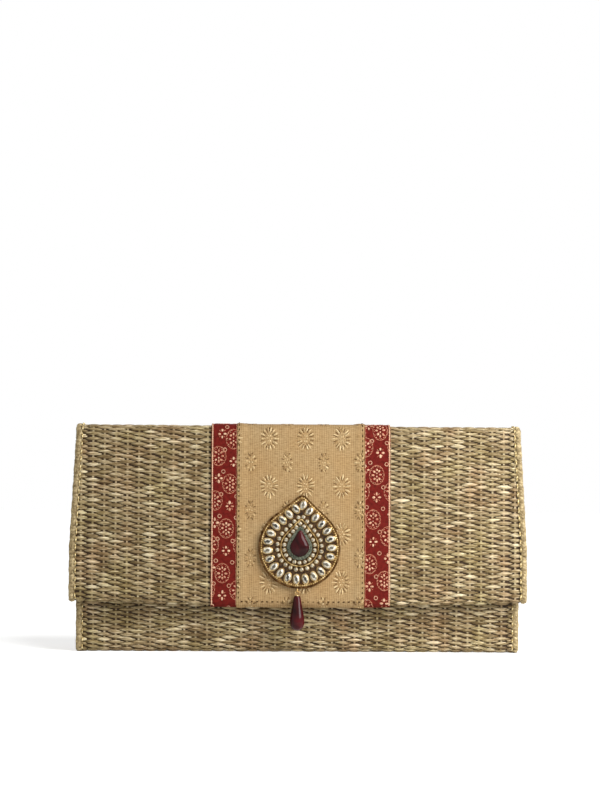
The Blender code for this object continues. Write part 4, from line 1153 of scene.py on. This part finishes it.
def cut_stone(name, sides, height, table_shade):
    """One stone 1 across and 1 along: a girdle, two tiers of crown facets and a flat table."""
    clear_bench()
    bpy.ops.mesh.primitive_circle_add(vertices=sides, radius=0.46, fill_type='NGON')
    piece = start_piece(name)
    open_up()
    for share, rise in CROWN_TIERS:
        grow(rise * height, share)
    close_up()
    # Painted reflections on the facets: by their facing above, by turns below, one shade for the table
    shades = piece.data.attributes.new("facet", 'FLOAT', 'FACE')
    for index, face in enumerate(piece.data.polygons):
        around = math.atan2(face.center.y, face.center.x)
        every_other = math.floor(around * sides / (2 * math.pi)) % 2
        if len(face.vertices) > 4:
            shade = table_shade
        elif face.normal.z > 0.35 and face.center.z > 0.5 * height:
            shade = PAINTED_FACET_LIGHT["bright" if math.sin(around * 2 + 0.6) > -0.55 else "shaded"]
        else:
            shade = PAINTED_FACET_LIGHT["pale" if every_other else "grey"]
        shades.data[index].value = shade
    return piece


def stone_cup(name, sides, height):
    """One cup 1 across and 1 along: a rolled ring with four claws bent over it."""
    clear_bench()
    bpy.ops.mesh.primitive_torus_add(major_segments=sides, minor_segments=6, major_radius=0.5,
                                     minor_radius=0.085)
    ring = start_piece(name)
    for vertex in ring.data.vertices:
        vertex.co.z = vertex.co.z * 3.4 + 0.3 * height
    claws = [ring]
    level = CLAW_LEVEL * height
    for quarter in range(4):
        angle = math.pi / 4 + quarter * math.pi / 2
        place = (CLAW_OUT * math.cos(angle), CLAW_OUT * math.sin(angle), level)
        bpy.ops.mesh.primitive_ico_sphere_add(subdivisions=1, radius=0.1, location=place)
        claws.append(start_piece("claw"))
    for claw in claws[1:]:
        for vertex in claw.data.vertices:
            vertex.co.z = level + (vertex.co.z - level) * CLAW_LENGTH
    return join(claws)


# Foil-backed glass: ground, polished and colourless; its greys are the facets' painted reflections
glass, _ = new_material("foil_backed_glass", "#C8C8C0",
                        {"Roughness": 0.07, "IOR": 1.55, "Coat Weight": 0.4, "Coat Roughness": 0.03})
glass_facet = add_node(glass, "Attribute", "Fac", {"attribute_name": "facet"})
glass_tone = add_node(glass, "Attribute", "Fac", {"attribute_name": "tone"})
glass_sum = add_node(glass, "Math", "Value", {"operation": 'MULTIPLY_ADD', 1: 0.18},
                     {0: glass_tone, 2: glass_facet})
glass_colour = add_node(glass, "ValToRGB", "Color",
                        {"stops": [(0.1, "#2A261E"), (0.92, "#D6CEBA"), (0.3, "#625C4E"), (0.6, "#A39A84")]},
                        {"Fac": glass_sum})
feed(glass, {"Base Color": glass_colour})

draw = np.random.default_rng(51)
# The table's painted reflection: nearly black on the ovals, pale on the round stones
for word, row, count, size, sides, height, table_shade, node in (
        ("oval", OUTER_ROW, 24, OVAL_STONE, 12, 1.6, 0.14, "outer_stones"),
        ("middle", MIDDLE_ROW, 26, ROUND_STONE, 8, 1.2, 0.62, "middle_stones"),
        ("inner", INNER_ROW, 20, ROUND_STONE, 8, 1.2, 0.62, "inner_stones")):
    stone = cut_stone("stone", sides, height, table_shade)
    cup = stone_cup("cup", 16, height)
    places = []
    seats = []
    for x, y, angle in teardrop(*row, count):
        turn = angle - math.pi / 2 + draw.normal(0.0, 0.05)
        places.append((x, y, SEAT_LEVEL, turn, size[0], size[1], draw.normal(0.0, 0.45)))
        seats.append((x, y, SEAT_LEVEL - 0.45, turn, size[0] * 1.04, size[1] * 1.04, 0.0))
    stones = repeat(f"{word}_cut_stones", stone, places)
    cups = repeat(f"{word}_stone_cups", cup, seats)
    for piece, material, slot_name in ((stones, glass, "clear_stone"), (cups, pale_gold, "antique_gilt")):
        on_brooch(piece)
        piece.data.materials.append(material)
        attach(piece, "flap")
    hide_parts(node)
    bpy.data.objects.remove(stone)
    bpy.data.objects.remove(cup)

# A twisted wire lies between the two inner rows
wire = repeat("twisted_wire", bead, [(x, y, SEAT_LEVEL + 0.1, angle + 0.7, 1.0, 0.55, 0.0)
                                     for x, y, angle in teardrop(*WIRE_ROW, 130)])
on_brooch(wire)
wire.data.materials.append(pale_gold)
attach(wire, "flap")
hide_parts("ring_wall")
bpy.data.objects.remove(bead)


# Centre stone: a garnet glass cabochon, moulded and fire polished, in a sloping bezel of
# silver that has gone grey green in its grain.

SETTING_SHAPE = (7.1, 11.7, 1.5)
SETTING_FOOT = SEAT_LEVEL - 0.4
SETTING_STEPS = [(0.0, 0.7), (0.3, 0.2), (0.9, 0.55), (0.3, 0.25), (0.2, -0.5)]
CABOCHON_SHAPE = (5.2, 9.5, 1.2)
CABOCHON_LEVELS = (4.3, 6.9)
CABOCHON_WALL = 0.5
DOME_CENTRE = (0.0, 1.3, 0.0)
DOME_STEPS = 10

silver, silver_grain = mottled("oxidised_silver_grained", "#77796B", {"Metallic": 0.9, "Roughness": 0.5},
                               {"Scale": 1500.0, "Detail": 3.0}, [(0.35, "#2E3329"), (0.7, "#787A69")])
silver_bump = add_node(silver, "Bump", "Normal", {"Strength": 0.7, "Distance": 0.0003},
                       {"Height": silver_grain})
feed(silver, {"Normal": silver_bump})

setting = teardrop_face("sloping_bezel", SETTING_SHAPE, 72, SETTING_FOOT)
raise_face(SETTING_STEPS)
close_up()
smooth(setting, 45.0)
on_brooch(setting)
setting.data.materials.append(silver)
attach(setting, "flap")
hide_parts("centre_setting")

# Garnet glass: deep wine red, almost black where it is thick, with slight swirls; polished
garnet, _ = mottled("garnet_glass_moulded", "#4A1220",
                    {"Roughness": 0.05, "IOR": 1.54, "Specular IOR Level": 0.12},
                    {"Scale": 90.0, "Detail": 2.0, "Distortion": 0.8},
                    [(0.3, "#260607"), (0.75, "#541216")])

cabochon = teardrop_face("garnet_cabochon", CABOCHON_SHAPE, 72, CABOCHON_LEVELS[0])
raise_face([(0.0, CABOCHON_WALL)])
dome = CABOCHON_LEVELS[1] - CABOCHON_LEVELS[0] - CABOCHON_WALL
last_share = 1.0
last_rise = 0.0
for step in range(1, DOME_STEPS):
    slope = step / DOME_STEPS * math.pi / 2
    share = math.cos(slope)
    grow(dome * (math.sin(slope) - last_rise), share / last_share, DOME_CENTRE)
    last_share = share
    last_rise = math.sin(slope)
close_up()
smooth(cabochon, 70.0)
on_brooch(cabochon)
cabochon.data.materials.append(garnet)
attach(cabochon, "flap")
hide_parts("centre_stone")


# Drop: a pressed glass drop on a pin, which hangs from the brooch by a jump ring of wire. A
# small gilt cap covers its top.

DROP_MIDDLE = Vector((-0.86, -30.31, 23.29))
DROP_PROFILE = ((0.9, 9.7), (1.5, 9.45), (1.9, 8.9), (2.2, 7.2), (2.7, 4.6), (3.25, 1.6), (3.8, -1.4),
                (4.15, -4.1), (4.1, -6.2), (3.55, -8.0), (2.4, -9.2), (1.1, -9.75), (0.0, -9.85))
CAP_PROFILE = ((0.2, 10.3), (0.7, 10.2), (1.05, 9.9), (1.3, 9.5), (1.2, 9.3), (0.6, 9.4))


def spun(name, profile, rings):
    """A turned bench piece about Z from (radius, height) points, smoothed by a subdivision."""
    mesh = bpy.data.meshes.new(name)
    mesh.from_pydata([(radius, 0.0, height) for radius, height in profile],
                     [(index, index + 1) for index in range(len(profile) - 1)], [])
    piece = bring_in(name, mesh)
    hold(piece)
    open_up()
    bpy.ops.mesh.select_all(action='SELECT')
    bpy.ops.mesh.spin(steps=rings, angle=2 * math.pi, center=(0.0, 0.0, 0.0), axis=(0.0, 0.0, 1.0))
    bpy.ops.mesh.select_all(action='SELECT')
    bpy.ops.mesh.remove_doubles(threshold=0.001)
    pick('VERT', lambda point: point.is_boundary)
    bpy.ops.mesh.edge_face_add()
    close_up()
    rounder = piece.modifiers.new("round", 'SUBSURF')
    rounder.levels = 1
    rounder.render_levels = 1
    bpy.ops.object.modifier_apply(modifier=rounder.name)
    piece.data.shade_smooth()
    return piece


def hang(piece):
    """Put a bench piece about the drop's middle where the drop hangs, along the flap's face."""
    turn = Matrix((Vector((1.0, 0.0, 0.0)), FACE_OUT * -1.0, FACE_UP)).transposed()
    piece.data.transform(Matrix.Scale(MM, 4) @ Matrix.Translation(DROP_MIDDLE) @ turn.to_4x4())


for name, profile, rings, material, slot_name in (
        ("garnet_drop", DROP_PROFILE, 28, garnet, "garnet_glass"),
        ("drop_cap", CAP_PROFILE, 20, pale_gold, "antique_gilt")):
    piece = spun(name, profile, rings)
    hang(piece)
    piece.data.materials.append(material)
    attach(piece, "drop")
    if name == "garnet_drop":
        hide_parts("drop_bead")
for link in ("jump_ring", "drop_loop"):
    dress(link, pale_gold)


# Magnetic snap: a nickel-plated steel cup on the body and a stud on the flap, each held by
# two prongs through the straw and a washer behind.

# Nickel: bright plate on pressed steel, faintly yellow, with fine turning marks and handling wear
nickel, nickel_place = new_material("nickel_plated_steel", "#B8B2A6", {"Metallic": 1.0, "Roughness": 0.24},
                                    "object")
nickel_wear = add_node(nickel, "TexNoise", "Fac", {"Scale": 700.0, "Detail": 4.0}, {"Vector": nickel_place})
nickel_rough = add_node(nickel, "MapRange", "Result", {"To Min": 0.16, "To Max": 0.36},
                        {"Value": nickel_wear})
feed(nickel, {"Roughness": nickel_rough})

SNAP_HEIGHT = 45.0
MAGNET_PROFILE = ((0.0, 0.7), (2.9, 0.7), (3.2, 0.9), (3.2, 2.4), (3.5, 2.7), (4.2, 2.7), (4.4, 2.55),
                  (5.9, 2.55), (6.1, 2.7), (6.6, 2.6), (6.95, 2.2), (7.0, 1.2), (6.95, 0.4), (6.7, 0.3),
                  (0.0, 0.3))
STUD_PROFILE = ((0.0, -4.4), (6.7, -4.4), (7.0, -4.6), (7.0, -5.1), (6.7, -5.4), (5.6, -5.4), (5.3, -5.2),
                (2.7, -5.2), (2.4, -5.4), (2.2, -5.8), (2.2, -6.6), (1.9, -6.9), (0.0, -6.9))
front_start, front_end = body_straights[1]
front_heights = np.interp((front_end, front_start), body_line[:, 0], body_line[:, 2])
magnet_run = np.interp(SNAP_HEIGHT, front_heights, (front_end, front_start))
for name, profile, run, line, body in (
        ("snap_cup", MAGNET_PROFILE, magnet_run, body_line, "bag"),
        ("snap_plate", STUD_PROFILE, face_run(SNAP_HEIGHT), flap_line, "flap")):
    piece = spun(name, profile, 32)
    piece.data.transform(Matrix.Translation((0.0, run, 0.0)))
    lay(piece, line, False)
    piece.data.materials.append(nickel)
    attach(piece, body)
    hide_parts("snap_magnet" if body == "bag" else "snap_stud")
for part in ("snap_magnet_washer", "snap_stud_washer"):
    dress(part, nickel)


# The photograph: a plain pale floor and a white background, soft light from both sides and a
# little more from the right, and a long lens just above the middle of the bag.

FLOOR_GLOW = 0.64
AMBIENT = 0.19
SUN_FROM = Vector((0.4, -0.5, 0.9))
SUN_STRENGTH = 1.15
SUN_SOFTNESS = math.radians(18.0)
# Each soft box: its place, width in metres and power in watts
SOFT_BOXES = [((0.39, -0.33, 0.3), 0.3, 3.5), ((-1.2, -1.5, 0.6), 1.2, 0.3)]
LENS = 79.9
SENSOR = 36.0
SHIFT = (0.0018, 0.174)
LOOK_AT = Vector((0.0, -0.018, 0.064))
LOOK_ALONG = Vector((0.028, 1.0, -0.0349))
DISTANCE = 1.0
ROLL = math.radians(0.41)


def seen_by(owner, kinds):
    """In a material or world, 1 for any of these kinds of ray and 0 for the rest."""
    path = add_node(owner, "LightPath", 0).node
    seen = path.outputs[kinds[0]]
    for kind in kinds[1:]:
        seen = add_node(owner, "Math", "Value", {"operation": 'MAXIMUM'}, {0: seen, 1: path.outputs[kind]})
    return seen


clear_bench()
bpy.ops.mesh.primitive_plane_add(size=8.0)
floor = start_piece("floor")
floor_paper, _ = new_material("white_paper_matt", "#F2F2F0",
                              {"Roughness": 0.95, "Emission Color": (1.0, 1.0, 1.0, 1.0)})
floor_seen = seen_by(floor_paper, ("Is Camera Ray", "Is Glossy Ray"))
floor_glow = add_node(floor_paper, "Math", "Value", {"operation": 'MULTIPLY', 1: FLOOR_GLOW},
                      {0: floor_seen})
feed(floor_paper, {"Emission Strength": floor_glow})
floor.data.materials.append(floor_paper)

surround = bpy.data.worlds.new("white_surround")
bpy.context.scene.world = surround
surround.use_nodes = True
surround_seen = seen_by(surround, ("Is Camera Ray", "Is Glossy Ray", "Is Transmission Ray"))
strength = add_node(surround, "MapRange", "Result", {"To Min": AMBIENT, "To Max": 1.0},
                    {"Value": surround_seen})
backdrop = surround.node_tree.nodes["Background"].inputs
backdrop["Color"].default_value = (1.0, 1.0, 1.0, 1.0)
surround.node_tree.links.new(strength, backdrop["Strength"])

for index, (place, size, power) in enumerate(SOFT_BOXES):
    lamp = bpy.data.lights.new(f"soft_box_{index}", 'AREA')
    lamp.size = size
    lamp.energy = power
    holder = bring_in(lamp.name, lamp)
    holder.location = place
    holder.rotation_euler = (LOOK_AT - Vector(place)).to_track_quat('-Z', 'Y').to_euler()

sun = bpy.data.lights.new("window_light", 'SUN')
sun.energy = SUN_STRENGTH
sun.angle = SUN_SOFTNESS
sun_holder = bring_in("window_light", sun)
sun_holder.rotation_euler = SUN_FROM.to_track_quat('Z', 'Y').to_euler()

look = LOOK_ALONG.normalized()
level_right = look.cross(Vector((0.0, 0.0, 1.0))).normalized()
level_up = level_right.cross(look)
right = level_right * math.cos(ROLL) + level_up * math.sin(ROLL)
up = level_up * math.cos(ROLL) - level_right * math.sin(ROLL)
lens = bpy.data.cameras.new("camera")
lens.lens = LENS
lens.sensor_width = SENSOR
lens.shift_x, lens.shift_y = SHIFT
camera = bring_in("camera", lens)
turn = Matrix((right, up, -look)).transposed()
camera.matrix_world = Matrix.Translation(LOOK_AT - look * DISTANCE) @ turn.to_4x4()
bpy.context.scene.camera = camera
bpy.context.scene.view_settings.view_transform = 'Standard'
